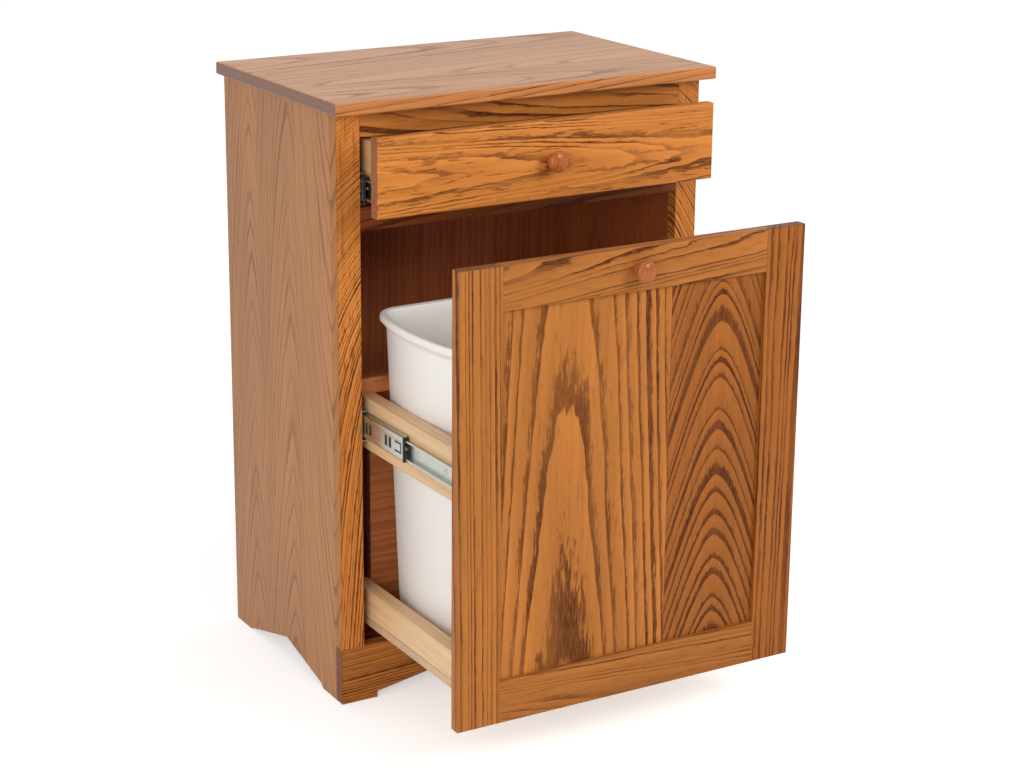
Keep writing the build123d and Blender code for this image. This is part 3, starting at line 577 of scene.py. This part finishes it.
def panel_wood():
    """The door panel: a wide board with broad figure, and one with tight arches on its right."""
    low, high = (Vector(c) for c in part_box("door_panel"))
    material, w, shader = new_material("wood door_panel")
    place = w.node("TexCoord").outputs["Object"]
    boards = []
    for middle, tone, stain, figure in PANEL_FIGURES:
        local = w.vector("SUBTRACT", place, (middle, low.y, (low.z + high.z) / 2))
        boards.append(timber(w, local, tuple(tone * c for c in stain), OAK_DARK, figure))
    x = w.node("SeparateXYZ", Vector=place).outputs[0]
    right = w.ramp(x, PANEL_SEAM - 0.0002, PANEL_SEAM + 0.0002)
    colour = w.blend(right, boards[0].outputs["Color"], boards[1].outputs["Color"])
    seam = w.ramp(w.math("ABSOLUTE", w.math("SUBTRACT", x, PANEL_SEAM)), 0.0, 0.0009, 0.45, 0.0)
    colour = w.blend(seam, colour, OAK_DARK)
    w.plug(shader.inputs["Base Color"], colour)
    dark, height = (
        w.math("ADD", w.math("MULTIPLY", boards[1].outputs[k], right),
               w.math("MULTIPLY", boards[0].outputs[k], w.math("SUBTRACT", 1.0, right)))
        for k in ("Dark mask", "Height")
    )
    w.plug(shader.inputs["Roughness"], w.math("MULTIPLY_ADD", dark, DARK_ROUGHER, 0.36))
    shader.inputs["Specular IOR Level"].default_value = OAK_SHINE
    w.plug(shader.inputs["Normal"], w.node("Bump", Height=height, Distance=PORE_DEPTH).outputs[0])
    return material


dress("door_panel", panel_wood())

# inner boards
smooth = dict(
    Pith_depth=0.30, Ring_width=0.010, Taper=0.01, Wander=0.006, Early_wood=0.5, Fray=0.6, Pores=0.1, Flecks=0.0,
    edge=0.1, gloss=0.42,
)
dress_board("back_panel", "upright", INSIDE_LIGHT, INSIDE_DARK, **smooth, Pith_across=0.5, Seed=16.1)
dress_board("floor_panel", "flat", INSIDE_LIGHT, INSIDE_DARK, **smooth, Seed=17.1)
dress_board("rack_rear_panel", "rail", BOARD_LIGHT, BOARD_DARK, **smooth, Pith_across=0.3, Seed=26.0)
for number, node in enumerate(("corner_blocks", "top_cleats", "slide_cleats")):
    dress_board(
        node, "rail", GOLDEN_LIGHT, GOLDEN_DARK, edge=0.0, gloss=0.55, ends=0.2,
        Ring_width=0.004, Taper=0.02, Seed=18.1 + number,
    )

# rack and drawer box, pale hardwood
pale = dict(
    light=PALE_LIGHT, dark=PALE_DARK, edge=0.25, gloss=0.4, coat=0.15, pore_depth=0.00006, ends=0.25,
    Early_wood=0.3, Fray=0.8, Pores=0.10, Patchy=0.8, Flecks=0.1,
)
plain_figure = dict(Pith_across=0.05, Pith_depth=0.09, Ring_width=0.010, Wander=0.008)
for number, (node, lie) in enumerate((
    ("rack_upper_rail_left", "left runner"), ("rack_upper_rail_right", "right runner"),
    ("rack_lower_rail_left", "left runner"), ("rack_lower_rail_right", "right runner"),
    ("rack_bottom_board", "flat"), ("rack_front_bar", "rail"),
)):
    dress_board(node, lie, **pale, **plain_figure, Taper=0.04, Seed=21.0 + number)
# the rear bar is the rack's pale wood; its orange, the rear board's colour made a quarter brighter, is painted
# orange bounce light
dress_board("rack_rear_bar", "rail", **dict(pale, light=BOARD_LIGHT, dark=BOARD_DARK), tone=1.25, Seed=27.0)
golden = dict(pale, light=GOLDEN_LIGHT, dark=GOLDEN_DARK)
for number, (node, lie) in enumerate((
    ("drawer_left_side", "left runner"), ("drawer_right_side", "right runner"),
    ("drawer_inner_front", "rail"), ("drawer_back", "rail"), ("drawer_bottom", "flat deep"),
)):
    dress_board(node, lie, **golden, **plain_figure, Taper=0.03, Seed=31.0 + number)


# ------------------------------------------------------------------ metal and plastic
def rolled_sheet():
    """Rolling marks and a slightly uneven plating. Stretch is how many marks a metre has along each axis."""
    tree, w, given, result = node_group(
        "Rolled sheet",
        (
            ("Position", "Vector", (0.0, 0.0, 0.0)),
            ("Stretch", "Vector", (300.0, 20.0, 300.0)),
            ("Plating", "Color", ZINC),
        ),
        (("Color", "Color"), ("Marks", "Float")),
    )
    cloud = w.noise(given["Position"], (60.0, 60.0, 60.0), 3.0)
    shade = w.math("MULTIPLY_ADD", cloud, 0.30, 0.85)
    w.plug(result["Color"], w.vector("SCALE", given["Plating"], scale=shade))
    w.plug(result["Marks"], w.noise(given["Position"], given["Stretch"], 3.0, 0.6))
    return tree


def moulded_skin():
    """A fine texture and a faint mottle. Grain is how many grains of texture there are per metre."""
    tree, w, given, result = node_group(
        "Moulded skin",
        (
            ("Position", "Vector", (0.0, 0.0, 0.0)),
            ("Grain", "Float", 900.0),
            ("Mottle", "Float", 0.05),
            ("Plastic", "Color", BLACK),
        ),
        (("Color", "Color"), ("Texture", "Float")),
    )
    cloud = w.math("SUBTRACT", w.noise(given["Position"], (12.0, 12.0, 6.0), 3.0), 0.5)
    shade = w.math("MULTIPLY_ADD", cloud, given["Mottle"], 1.0)
    w.plug(result["Color"], w.vector("SCALE", given["Plastic"], scale=shade))
    grains = w.vector("SCALE", given["Position"], scale=given["Grain"])
    w.plug(result["Texture"], w.noise(grains, (1.0, 1.0, 1.0), 2.0))
    return tree


ROLLED = rolled_sheet()
MOULDED = moulded_skin()

# rolling marks per metre along each axis, and how deep they are
LENGTHWISE = (300.0, 20.0, 300.0)
EVERY_WAY = (200.0, 200.0, 200.0)
MARK_DEPTH = 0.00004


def metal(name, colour, rough, brushed, stretch):
    """Plated or bright steel, its roughness from rough to rough + brushed."""
    material, w, shader = new_material(name)
    place = w.node("TexCoord").outputs["Object"]
    sheet = w.node("Group", {"node_tree": ROLLED}, Position=place, Stretch=stretch, Plating=colour)
    w.plug(shader.inputs["Base Color"], sheet.outputs["Color"])
    marks = sheet.outputs["Marks"]
    w.plug(shader.inputs["Roughness"], w.math("MULTIPLY_ADD", marks, brushed, rough))
    shader.inputs["Metallic"].default_value = 1.0
    w.plug(shader.inputs["Normal"], w.node("Bump", Height=marks, Distance=MARK_DEPTH).outputs[0])
    return material


def plastic(name, colour, rough, grain, depth, mottle=0.05):
    """Moulded plastic with so many grains per metre, each as deep as depth."""
    material, w, shader = new_material(name)
    place = w.node("TexCoord").outputs["Object"]
    skin = w.node("Group", {"node_tree": MOULDED}, Position=place, Grain=grain, Mottle=mottle, Plastic=colour)
    w.plug(shader.inputs["Base Color"], skin.outputs["Color"])
    texture = skin.outputs["Texture"]
    w.plug(shader.inputs["Roughness"], w.math("MULTIPLY_ADD", texture, 0.12, rough))
    w.plug(shader.inputs["Normal"], w.node("Bump", Height=texture, Distance=depth).outputs[0])
    return material, shader


zinc = metal("zinc plate", ZINC, 0.24, 0.22, LENGTHWISE)
steel = metal("bright steel", BRIGHT_STEEL, 0.18, 0.12, EVERY_WAY)
dark_steel = metal("greased dark steel", DARK_STEEL, 0.30, 0.15, EVERY_WAY)
black_plastic, _ = plastic("black plastic", BLACK, 0.42, 900.0, 0.00003)
bin_plastic, bin_shader = plastic("bin plastic", BIN_WHITE, 0.36, 1400.0, 0.00002, mottle=0.03)
# a little light goes into the bin's wall
bin_shader.inputs["Subsurface Weight"].default_value = 0.12
bin_shader.inputs["Subsurface Radius"].default_value = (0.006, 0.005, 0.004)
dress("bin", bin_plastic)
for words, finish in (
    ("_slide_outer_", zinc), ("_slide_mid_", zinc), ("_slide_inner_", zinc),
    ("retainers", dark_steel), ("screw", steel), ("stops", black_plastic),
):
    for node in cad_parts:
        if words in node:
            dress(node, finish)


# ------------------------------------------------------------------ pieces
def mesh_piece(name, points, faces, body, material, sharp):
    """A mesh piece on a body, smooth except at edges sharper than the given degrees."""
    data = bpy.data.meshes.new(name)
    data.from_pydata([tuple(p) for p in points], [], faces)
    mesh = bmesh.new()
    mesh.from_mesh(data)
    bmesh.ops.recalc_face_normals(mesh, faces=mesh.faces)
    mesh.to_mesh(data)
    mesh.free()
    piece = bpy.data.objects.new(name, data)
    scene.collection.objects.link(piece)
    data.materials.append(material)
    data.shade_smooth()
    data.set_sharp_from_angle(angle=radians(sharp))
    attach(piece, body)
    return piece


def lathe(profile, steps=96):
    """Points and faces of a profile of (depth, radius) turned about its axis, closed where the radius is 0."""
    points, faces, rows = [], [], []
    for depth, radius in profile:
        if radius == 0:
            rows.append([len(points)] * steps)
            points.append((0.0, depth, 0.0))
        else:
            rows.append(list(range(len(points), len(points) + steps)))
            points += [
                (radius * sin(2 * pi * k / steps), depth, radius * cos(2 * pi * k / steps)) for k in range(steps)
            ]
    for a, b in zip(rows, rows[1:]):
        for k in range(steps):
            n = (k + 1) % steps
            # a face at the axis is a triangle
            faces.append(list(dict.fromkeys([a[k], a[n], b[n], b[k]])))
    return points, faces


def bands(rings, n):
    """The faces between rings of n points each, where every ring follows the one before."""
    return [
        (k * n + (j + 1) % n, k * n + j, (k + 1) * n + j, (k + 1) * n + (j + 1) % n)
        for k in range(rings - 1) for j in range(n)
    ]


def arc(centre, radii, start, end, steps):
    """Points on an ellipse's arc, as (depth, radius) pairs, angles in degrees."""
    return [
        (centre[0] + radii[0] * cos(radians(start + (end - start) * k / steps)),
         centre[1] + radii[1] * sin(radians(start + (end - start) * k / steps)))
        for k in range(steps + 1)
    ]


# the knob's radius at its foot and at its shoulder, its dome's depth, and its waist's centre and radii
KNOB_FOOT = 0.0095
KNOB_SHOULDER = 0.0125
KNOB_DOME = 0.0080
KNOB_WAIST = ((-0.0075, 0.0115), (0.0050, -0.0040))


def knob(node, body, seed):
    """The turned oak knob that stands for a node: a foot, a waist, a shoulder and a domed head."""
    low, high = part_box(node)
    centre = Vector(((low[0] + high[0]) / 2, high[1], (low[2] + high[2]) / 2))
    stand = high[1] - low[1]
    outer = (high[0] - low[0]) / 2
    profile = [(0.0, 0.0), (0.0, 0.0092), (-0.0004, KNOB_FOOT), (-0.0022, KNOB_FOOT)]
    profile += arc(*KNOB_WAIST, 30, 150, 14)[1:]
    profile += arc((-stand + KNOB_DOME, KNOB_SHOULDER), (0.0052, outer - KNOB_SHOULDER), 20, 90, 8)
    profile += [(-stand + KNOB_DOME * (1 - cos(radians(a))), outer * sin(radians(a))) for a in range(84, 0, -6)]
    profile += [(-stand, 0.0)]
    points, faces = lathe(profile)
    points = [Vector(p) + centre for p in points]
    material = wood(
        "wood " + node, "upright", centre - Vector((outer, stand, outer)), centre + Vector((outer, 0.0, outer)),
        KNOB_LIGHT, KNOB_DARK, edge=0.0, gloss=0.17, shine=0.30, ends=0.0,
        Pith_across=0.02, Pith_depth=0.03, Ring_width=0.004, Taper=0.05, Wander=0.002, Fray=0.2, Flecks=0.0,
        Seed=seed,
    )
    piece = mesh_piece("turned_" + node, points, faces, body, material, 60)
    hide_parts(node)


knob("door_knob", "pull_out_rack", 41.0)
knob("drawer_knob", "drawer", 42.0)

# ------------------------------------------------------------------ waste bin
# how far the lip reaches from the bin's middle to its ends and its sides, and where that middle is
BIN_END = 0.247026
BIN_SIDE = 0.131026
BIN_Y = -0.1165
BIN_BOTTOM = 0.1268
BIN_TOP = 0.5948
# the lip's corners and how far its ends and sides bow out; the walls' draft and thickness
BIN_CORNER = 0.041
BIN_END_BOW = 0.019
BIN_SIDE_BOW = 0.003
BIN_DRAFT = 0.019
BIN_WALL = 0.0025
# how far the lip stands out, where its edge ends, and where the wall turns out to it
BIN_LIP = 0.009
BIN_LIP_LOW = BIN_TOP - 0.010
BIN_NECK = BIN_LIP_LOW - 0.011
# the roundings of the rim, the foot and the inner floor, and how far the underside is hollow
BIN_RIM_ROUND = 0.0034
BIN_FOOT_ROUND = 0.010
BIN_FLOOR_ROUND = 0.0075
BIN_HOLLOW = 0.0012
BIN_WALL_HEIGHTS = (0.16, 0.22, 0.30, 0.38, 0.46, 0.53)
# the rings of the floor and the underside shrink no further than this
BIN_LAST_INSET = 0.118


def bin_inset(z):
    """How far the bin's outer wall at z stands in from the edge of its lip."""
    return BIN_LIP + BIN_DRAFT * (BIN_TOP - z) / (BIN_TOP - BIN_BOTTOM)


def three_point_arc(start, middle, end):
    """The centre and radius of the circle through three points in a plane."""
    ax, ay = middle[0] - start[0], middle[1] - start[1]
    bx, by = end[0] - start[0], end[1] - start[1]
    d = 2 * (ax * by - ay * bx)
    a, b = ax * ax + ay * ay, bx * bx + by * by
    centre = Vector((start[0] + (by * a - ay * b) / d, start[1] + (ax * b - bx * a) / d))
    return centre, (centre - Vector(start)).length


def bin_lip_arcs():
    """The lip's outline over its quarter x > 0, y > 0: the bowed end, the round corner and the bowed side."""
    x, y = BIN_END - BIN_END_BOW, BIN_SIDE - BIN_SIDE_BOW
    end, end_r = three_point_arc((x, -y), (BIN_END, 0), (x, y))
    side, side_r = three_point_arc((x, y), (0, BIN_SIDE), (-x, y))
    # the corner's centre is where circles about the two bows' own centres cross
    a, b = end_r - BIN_CORNER, side_r - BIN_CORNER
    gap = side - end
    along = (gap.length_squared + a * a - b * b) / (2 * gap.length)
    away = (a * a - along * along) ** 0.5
    unit = gap.normalized()
    corner = end + unit * along + Vector((-unit.y, unit.x)) * away
    low = (corner - end).angle_signed(Vector((1, 0)))
    high = (corner - side).angle_signed(Vector((1, 0)))
    return (end, end_r, 0.0, low, 8), (corner, BIN_CORNER, low, high, 12), (side, side_r, high, pi / 2, 12)


LIP_ARCS = bin_lip_arcs()


def bin_ring(z, inset):
    """Points round the bin at z: its lip's bowed sides and round corners, all moved in by inset."""
    # a ring near the middle is a smaller copy of the last one that still has round corners
    near = min(inset, BIN_CORNER - 0.005)
    across, along = (BIN_END - inset) / (BIN_END - near), (BIN_SIDE - inset) / (BIN_SIDE - near)
    quarter = []
    for centre, radius, start, end, steps in LIP_ARCS:
        for k in range(steps):
            angle = start + (end - start) * k / steps
            quarter.append(centre + (radius - near) * Vector((cos(angle), sin(angle))))
    # the quarter ends in the middle of the long side, which is the arc that came last
    quarter.append(centre + (radius - near) * Vector((0, 1)))
    quarter = [Vector((p.x * across, p.y * along)) for p in quarter]
    back = [Vector((-p.x, p.y)) for p in reversed(quarter[:-1])]
    upper = quarter + back
    lower = [Vector((p.x, -p.y)) for p in reversed(upper[1:-1])]
    return [(p.x, BIN_Y + p.y, z) for p in upper + lower]


def bin_profile():
    """Heights and insets from the middle of the underside, over the rim and down to the inner floor."""
    turns = [pi / 2 * (k / 6) for k in range(7)]
    low = [(BIN_BOTTOM + BIN_HOLLOW, 0.110), (BIN_BOTTOM + BIN_HOLLOW, 0.052), (BIN_BOTTOM, 0.050)]
    foot = bin_inset(BIN_BOTTOM)
    low += [(BIN_BOTTOM + BIN_FOOT_ROUND * (1 - cos(a)), foot + BIN_FOOT_ROUND * (1 - sin(a))) for a in turns]
    wall = [(z, bin_inset(z)) for z in (*BIN_WALL_HEIGHTS, BIN_NECK - 0.002)]
    neck = bin_inset(BIN_NECK)
    lip = [
        (BIN_NECK + 0.0010, neck - 0.0004), (BIN_NECK + 0.0028, neck - 0.0024), (BIN_LIP_LOW - 0.0022, 0.0022),
        (BIN_LIP_LOW - 0.0006, 0.0006), (BIN_LIP_LOW + 0.0012, 0.0),
    ]
    rim = [(BIN_TOP - BIN_RIM_ROUND + BIN_RIM_ROUND * sin(a), BIN_RIM_ROUND * (1 - cos(a))) for a in turns]
    across = [(BIN_TOP - 0.0003, 0.0060), (BIN_TOP - 0.0008, 0.0085)]
    edge = BIN_LIP + BIN_WALL
    turn_in = [(BIN_TOP - 0.0008 - 0.0026 * (1 - cos(a)), edge - 0.0024 * (1 - sin(a))) for a in turns[1:]]
    inside = [(z, bin_inset(z) + BIN_WALL) for z in (0.575, *reversed(BIN_WALL_HEIGHTS))]
    floor_z = BIN_BOTTOM + BIN_WALL
    base = bin_inset(floor_z) + BIN_WALL
    inner = [(floor_z + BIN_FLOOR_ROUND * (1 - sin(a)), base + BIN_FLOOR_ROUND * (1 - cos(a))) for a in turns]
    return low + wall + lip + rim + across + turn_in + inside + inner + [(floor_z, 0.080), (floor_z, 0.110)]


def waste_bin():
    """The off-white bin as one closed skin."""
    rings = [bin_ring(z, min(inset, BIN_LAST_INSET)) for z, inset in bin_profile()]
    n = len(rings[0])
    points = [p for ring in rings for p in ring]
    faces = bands(len(rings), n)
    faces.append(tuple(range(n)))
    faces.append(tuple(reversed(range((len(rings) - 1) * n, len(rings) * n))))
    piece = mesh_piece("moulded_bin", points, faces, "waste_bin", bin_plastic, 50)
    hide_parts("bin")


waste_bin()


# ------------------------------------------------------------------ middle members of the slides
# the sheet's thickness, the member's depth, its bends, and how far the web is set back
SHEET = 0.0012
MID_DEPTH = 0.00855
BEND = 0.0035
RECESS = 0.0004
# the lips' height and rounding, and half the height of the slots and of the tongue
MID_LIP = 0.0012
LIP_ROUND = 0.0004
SLOT_HALF = 0.0080
TONGUE_HALF = 0.0055
# how far below the flange the flat of the web ends and the raised ball track begins
WEB_EDGE = 0.0088
TRACK_EDGE = 0.0078
# holes punched along the web, from its front end: from, to, and how far from the web's middle they start
PUNCHED = (
    (0.005, 0.008, 0.0), (0.008, 0.025, TONGUE_HALF),
    (0.035, 0.043, 0.0), (0.047, 0.055, 0.0),
    (0.096, 0.104, 0.0), (0.108, 0.116, 0.0),
)


def mid_member_section(half):
    """The upper half of a middle member's outline: the outer face of its sheet, and then the inner face.

    Points are (distance from the web's face, height), and half is the height of its flanges. The web is set back
    between the raised tracks, and lips hold the balls.
    """
    lip = MID_DEPTH - SHEET
    web_back = SHEET + RECESS - 0.0001
    quarter = arc((0, 0), (LIP_ROUND, LIP_ROUND), 0, 90, 4)
    swapped = [(y, x) for x, y in quarter]
    top = half + MID_LIP - LIP_ROUND
    under = half - SHEET - MID_LIP + LIP_ROUND
    outside = [(RECESS, TONGUE_HALF), (RECESS, SLOT_HALF), (RECESS, half - WEB_EDGE), (0.0, half - TRACK_EDGE)]
    outside += [(BEND - x, half - BEND + y) for x, y in arc((0, 0), (BEND, BEND), 0, 90, 8)]
    outside += [(lip - LIP_ROUND, half), (lip, half + LIP_ROUND)]
    outside += [(lip + LIP_ROUND - x, top + y) for x, y in quarter]
    outside += [(MID_DEPTH - LIP_ROUND + x, top + y) for x, y in swapped]
    outside += [(MID_DEPTH - LIP_ROUND + x, under - y) for x, y in quarter]
    outside += [(lip + LIP_ROUND - x, under - y) for x, y in swapped]
    inside = [(lip, half - SHEET - LIP_ROUND), (lip - LIP_ROUND, half - SHEET)]
    inner = BEND - SHEET
    inside += [(BEND - x, half - BEND + y) for x, y in arc((0, 0), (inner, inner), 90, 0, 6)]
    inside += [(SHEET, half - TRACK_EDGE), (web_back, half - WEB_EDGE)]
    inside += [(web_back, SLOT_HALF), (web_back, TONGUE_HALF)]
    return outside + inside


def middle_member(node, body):
    """The rolled middle member of a slide, with its holes punched in the web."""
    low, high = (Vector(c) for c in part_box(node))
    side = 1 if high.x > 0 else -1
    face = max(abs(low.x), abs(high.x))
    middle = (low.z + high.z) / 2
    upper = mid_member_section(high.z - middle - MID_LIP)
    outline = upper + [(u, -v) for u, v in reversed(upper)]
    count, n = len(upper), len(outline)
    stations = sorted({0.0, high.y - low.y, *(y for hole in PUNCHED for y in hole[:2])})
    points = [(side * (face - u), low.y + y, middle + v) for y in stations for u, v in outline]
    # the web's three columns, each an edge of the outline on its face and the matching one behind it
    columns = ((1, 0), (0, n - 1), (n - 1, n - 2))
    behind = ((count - 2, count - 1), (count - 1, count), (count, count + 1))
    faces = []

    def quad(a, b, c, d):
        """A face, turned about on the left-hand side."""
        faces.append((a, b, c, d) if side > 0 else (d, c, b, a))

    def hole_at(row, column):
        """Whether the web is punched away in a row between stations, in a column."""
        y = (stations[row] + stations[row + 1]) / 2
        return any(start < y < end and (column != 1 or beside == 0.0) for start, end, beside in PUNCHED)

    for row in range(len(stations) - 1):
        near, far = row * n, (row + 1) * n
        for k in range(n):
            j = (k + 1) % n
            web = next((c for c in range(3) if {k, j} in (set(columns[c]), set(behind[c]))), None)
            if web is None or not hole_at(row, web):
                quad(near + k, near + j, far + j, far + k)
        # a hole's edges are closed between the web's face and its back
        for column in range(3):
            if not hole_at(row, column):
                continue
            (a, b), (c, d) = columns[column], behind[column]
            if row == 0 or not hole_at(row - 1, column):
                quad(near + a, near + b, near + d, near + c)
            if row == len(stations) - 2 or not hole_at(row + 1, column):
                quad(far + c, far + d, far + b, far + a)
            if column == 0 or not hole_at(row, column - 1):
                quad(near + a, near + c, far + c, far + a)
            if column == 2 or not hole_at(row, column + 1):
                quad(far + b, far + d, near + d, near + b)
    last = (len(stations) - 1) * n
    for start, turned in ((0, side > 0), (last, side < 0)):
        ring = tuple(range(start, start + n))
        faces.append(ring[::-1] if turned else ring)
    piece = mesh_piece("rolled_" + node, points, faces, body, zinc, 30)
    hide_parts(node)


for side in ("left", "right"):
    for pair in ("pullout", "drawer"):
        middle_member(pair + "_slide_mid_" + side, pair + "_mid_members_body")

# ------------------------------------------------------------------ slide screws
HEAD_RADIUS = 0.0033
HEAD_HEIGHT = 0.00125
# a cross recess: its arms' half width and reach as shares of the head's radius, its depth as one of the height
CROSS_ARM = 0.17
CROSS_REACH = 0.62
CROSS_DEPTH = 0.55
# a pointed shank's (depth, radius)
SHANK = ((0.0, 0.0), (0.0, 0.00175), (-0.0085, 0.00175), (-0.0112, 0.0))
# the screws' places: across from the middle, and along from the inner member's front end
SCREW_ACROSS = 0.2585
SCREW_ALONG = (0.057, 0.134, 0.300)


def screw_head(radius, height, rings=14, steps=48):
    """Points and faces of a pan head with a cross recess, its flat side at height 0 and its axis up."""
    points = []
    for ring in range(rings + 1):
        r = radius * ring / rings
        t = r / radius
        dome = height * (1 - 0.45 * t ** 4)
        for j in range(steps):
            x, y = r * cos(2 * pi * j / steps), r * sin(2 * pi * j / steps)
            arm = min(abs(x), abs(y)) / (radius * CROSS_ARM)
            reach = max(abs(x), abs(y)) / (radius * CROSS_REACH)
            sunk = max(0.0, 1 - arm ** 3) * max(0.0, 1 - reach ** 6)
            points.append((x, y, dome - CROSS_DEPTH * height * min(1.0, 1.6 * sunk)))
    points += [(radius * cos(2 * pi * j / steps), radius * sin(2 * pi * j / steps), 0.0) for j in range(steps)]
    return points, bands(rings + 2, steps) + [tuple(range(steps))]


def slide_screws(node, body, front_y, z):
    """The three screws through each of a pair of inner slide members, with their shanks in the wood."""
    points, faces = [], []
    head, head_faces = screw_head(HEAD_RADIUS, HEAD_HEIGHT)
    shank, shank_faces = lathe(SHANK, 20)
    shank = [(x, up, y) for x, y, up in shank]
    for side in (-1, 1):
        for count, along in enumerate(SCREW_ALONG):
            place = Vector((side * SCREW_ACROSS, front_y + along, z))
            # each screw's cross stopped at another angle
            turn = Matrix.Rotation(side * pi / 2, 4, "Y") @ Matrix.Rotation(0.5 + 1.1 * count + side, 4, "Z")
            for shape, shape_faces in ((head, head_faces), (shank, shank_faces)):
                start = len(points)
                points += [place + turn @ Vector(p) for p in shape]
                faces += [[start + k for k in face] for face in shape_faces]
    piece = mesh_piece("cross_" + node, points, faces, body, steel, 35)
    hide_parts(node)


slide_screws("pullout_slide_screws", "pull_out_rack", -0.3085, 0.4315)
slide_screws("drawer_slide_screws", "drawer", -0.0795, 0.7835)

# ------------------------------------------------------------------ floor and surroundings
FLOOR_HALF = 40
FLOOR_GAP = 0.0004
FLOOR_GLOW = 0.50
STUDIO_LIGHT = 0.6


def background_rays(w):
    """Masks of the rays that see the background: straight, mirrored or through glass, and the mirrored alone."""
    path = w.node("LightPath")
    mirrored = path.outputs["Is Glossy Ray"]
    seen = w.math("MAXIMUM", path.outputs["Is Camera Ray"],
                  w.math("MAXIMUM", mirrored, path.outputs["Is Transmission Ray"]))
    return seen, mirrored


floor_data = bpy.data.meshes.new("floor")
floor_corners = [(x * FLOOR_HALF, y * FLOOR_HALF, 0) for x, y in ((-1, -1), (1, -1), (1, 1), (-1, 1))]
floor_data.from_pydata(floor_corners, [], [(0, 1, 2, 3)])
floor = bpy.data.objects.new("floor", floor_data)
floor.location = (0.0, 0.0, -FLOOR_GAP)
scene.collection.objects.link(floor)
floor_material, w, shader = new_material("pale floor")
for socket, value in (
    ("Base Color", FLOOR_GREY), ("Roughness", 0.9), ("Specular IOR Level", 0.0), ("Emission Color", WHITE),
):
    w.plug(shader.inputs[socket], value)
seen, _ = background_rays(w)
w.plug(shader.inputs["Emission Strength"], w.math("MULTIPLY", seen, FLOOR_GLOW))
floor_data.materials.append(floor_material)

world = bpy.data.worlds.new("white studio")
scene.world = world
world.use_nodes = True
world.node_tree.nodes.clear()
w = Wiring(world.node_tree)
seen, mirrored = background_rays(w)
# the studio is darker in front of the cabinet, so its front mirrors less of it
front = w.node("SeparateXYZ", Vector=w.node("TexCoord").outputs["Generated"]).outputs[1]
darker = w.math("MULTIPLY", mirrored, w.ramp(front, 0.05, -0.55, 0.0, 0.7))
# what is seen is white, and what lights the cabinet is dimmer
strength = w.math("MULTIPLY_ADD", seen, 1.0 - STUDIO_LIGHT, STUDIO_LIGHT)
background = w.node("Background", Color=WHITE, Strength=w.math("SUBTRACT", strength, darker))
w.node("OutputWorld", Surface=background.outputs[0])
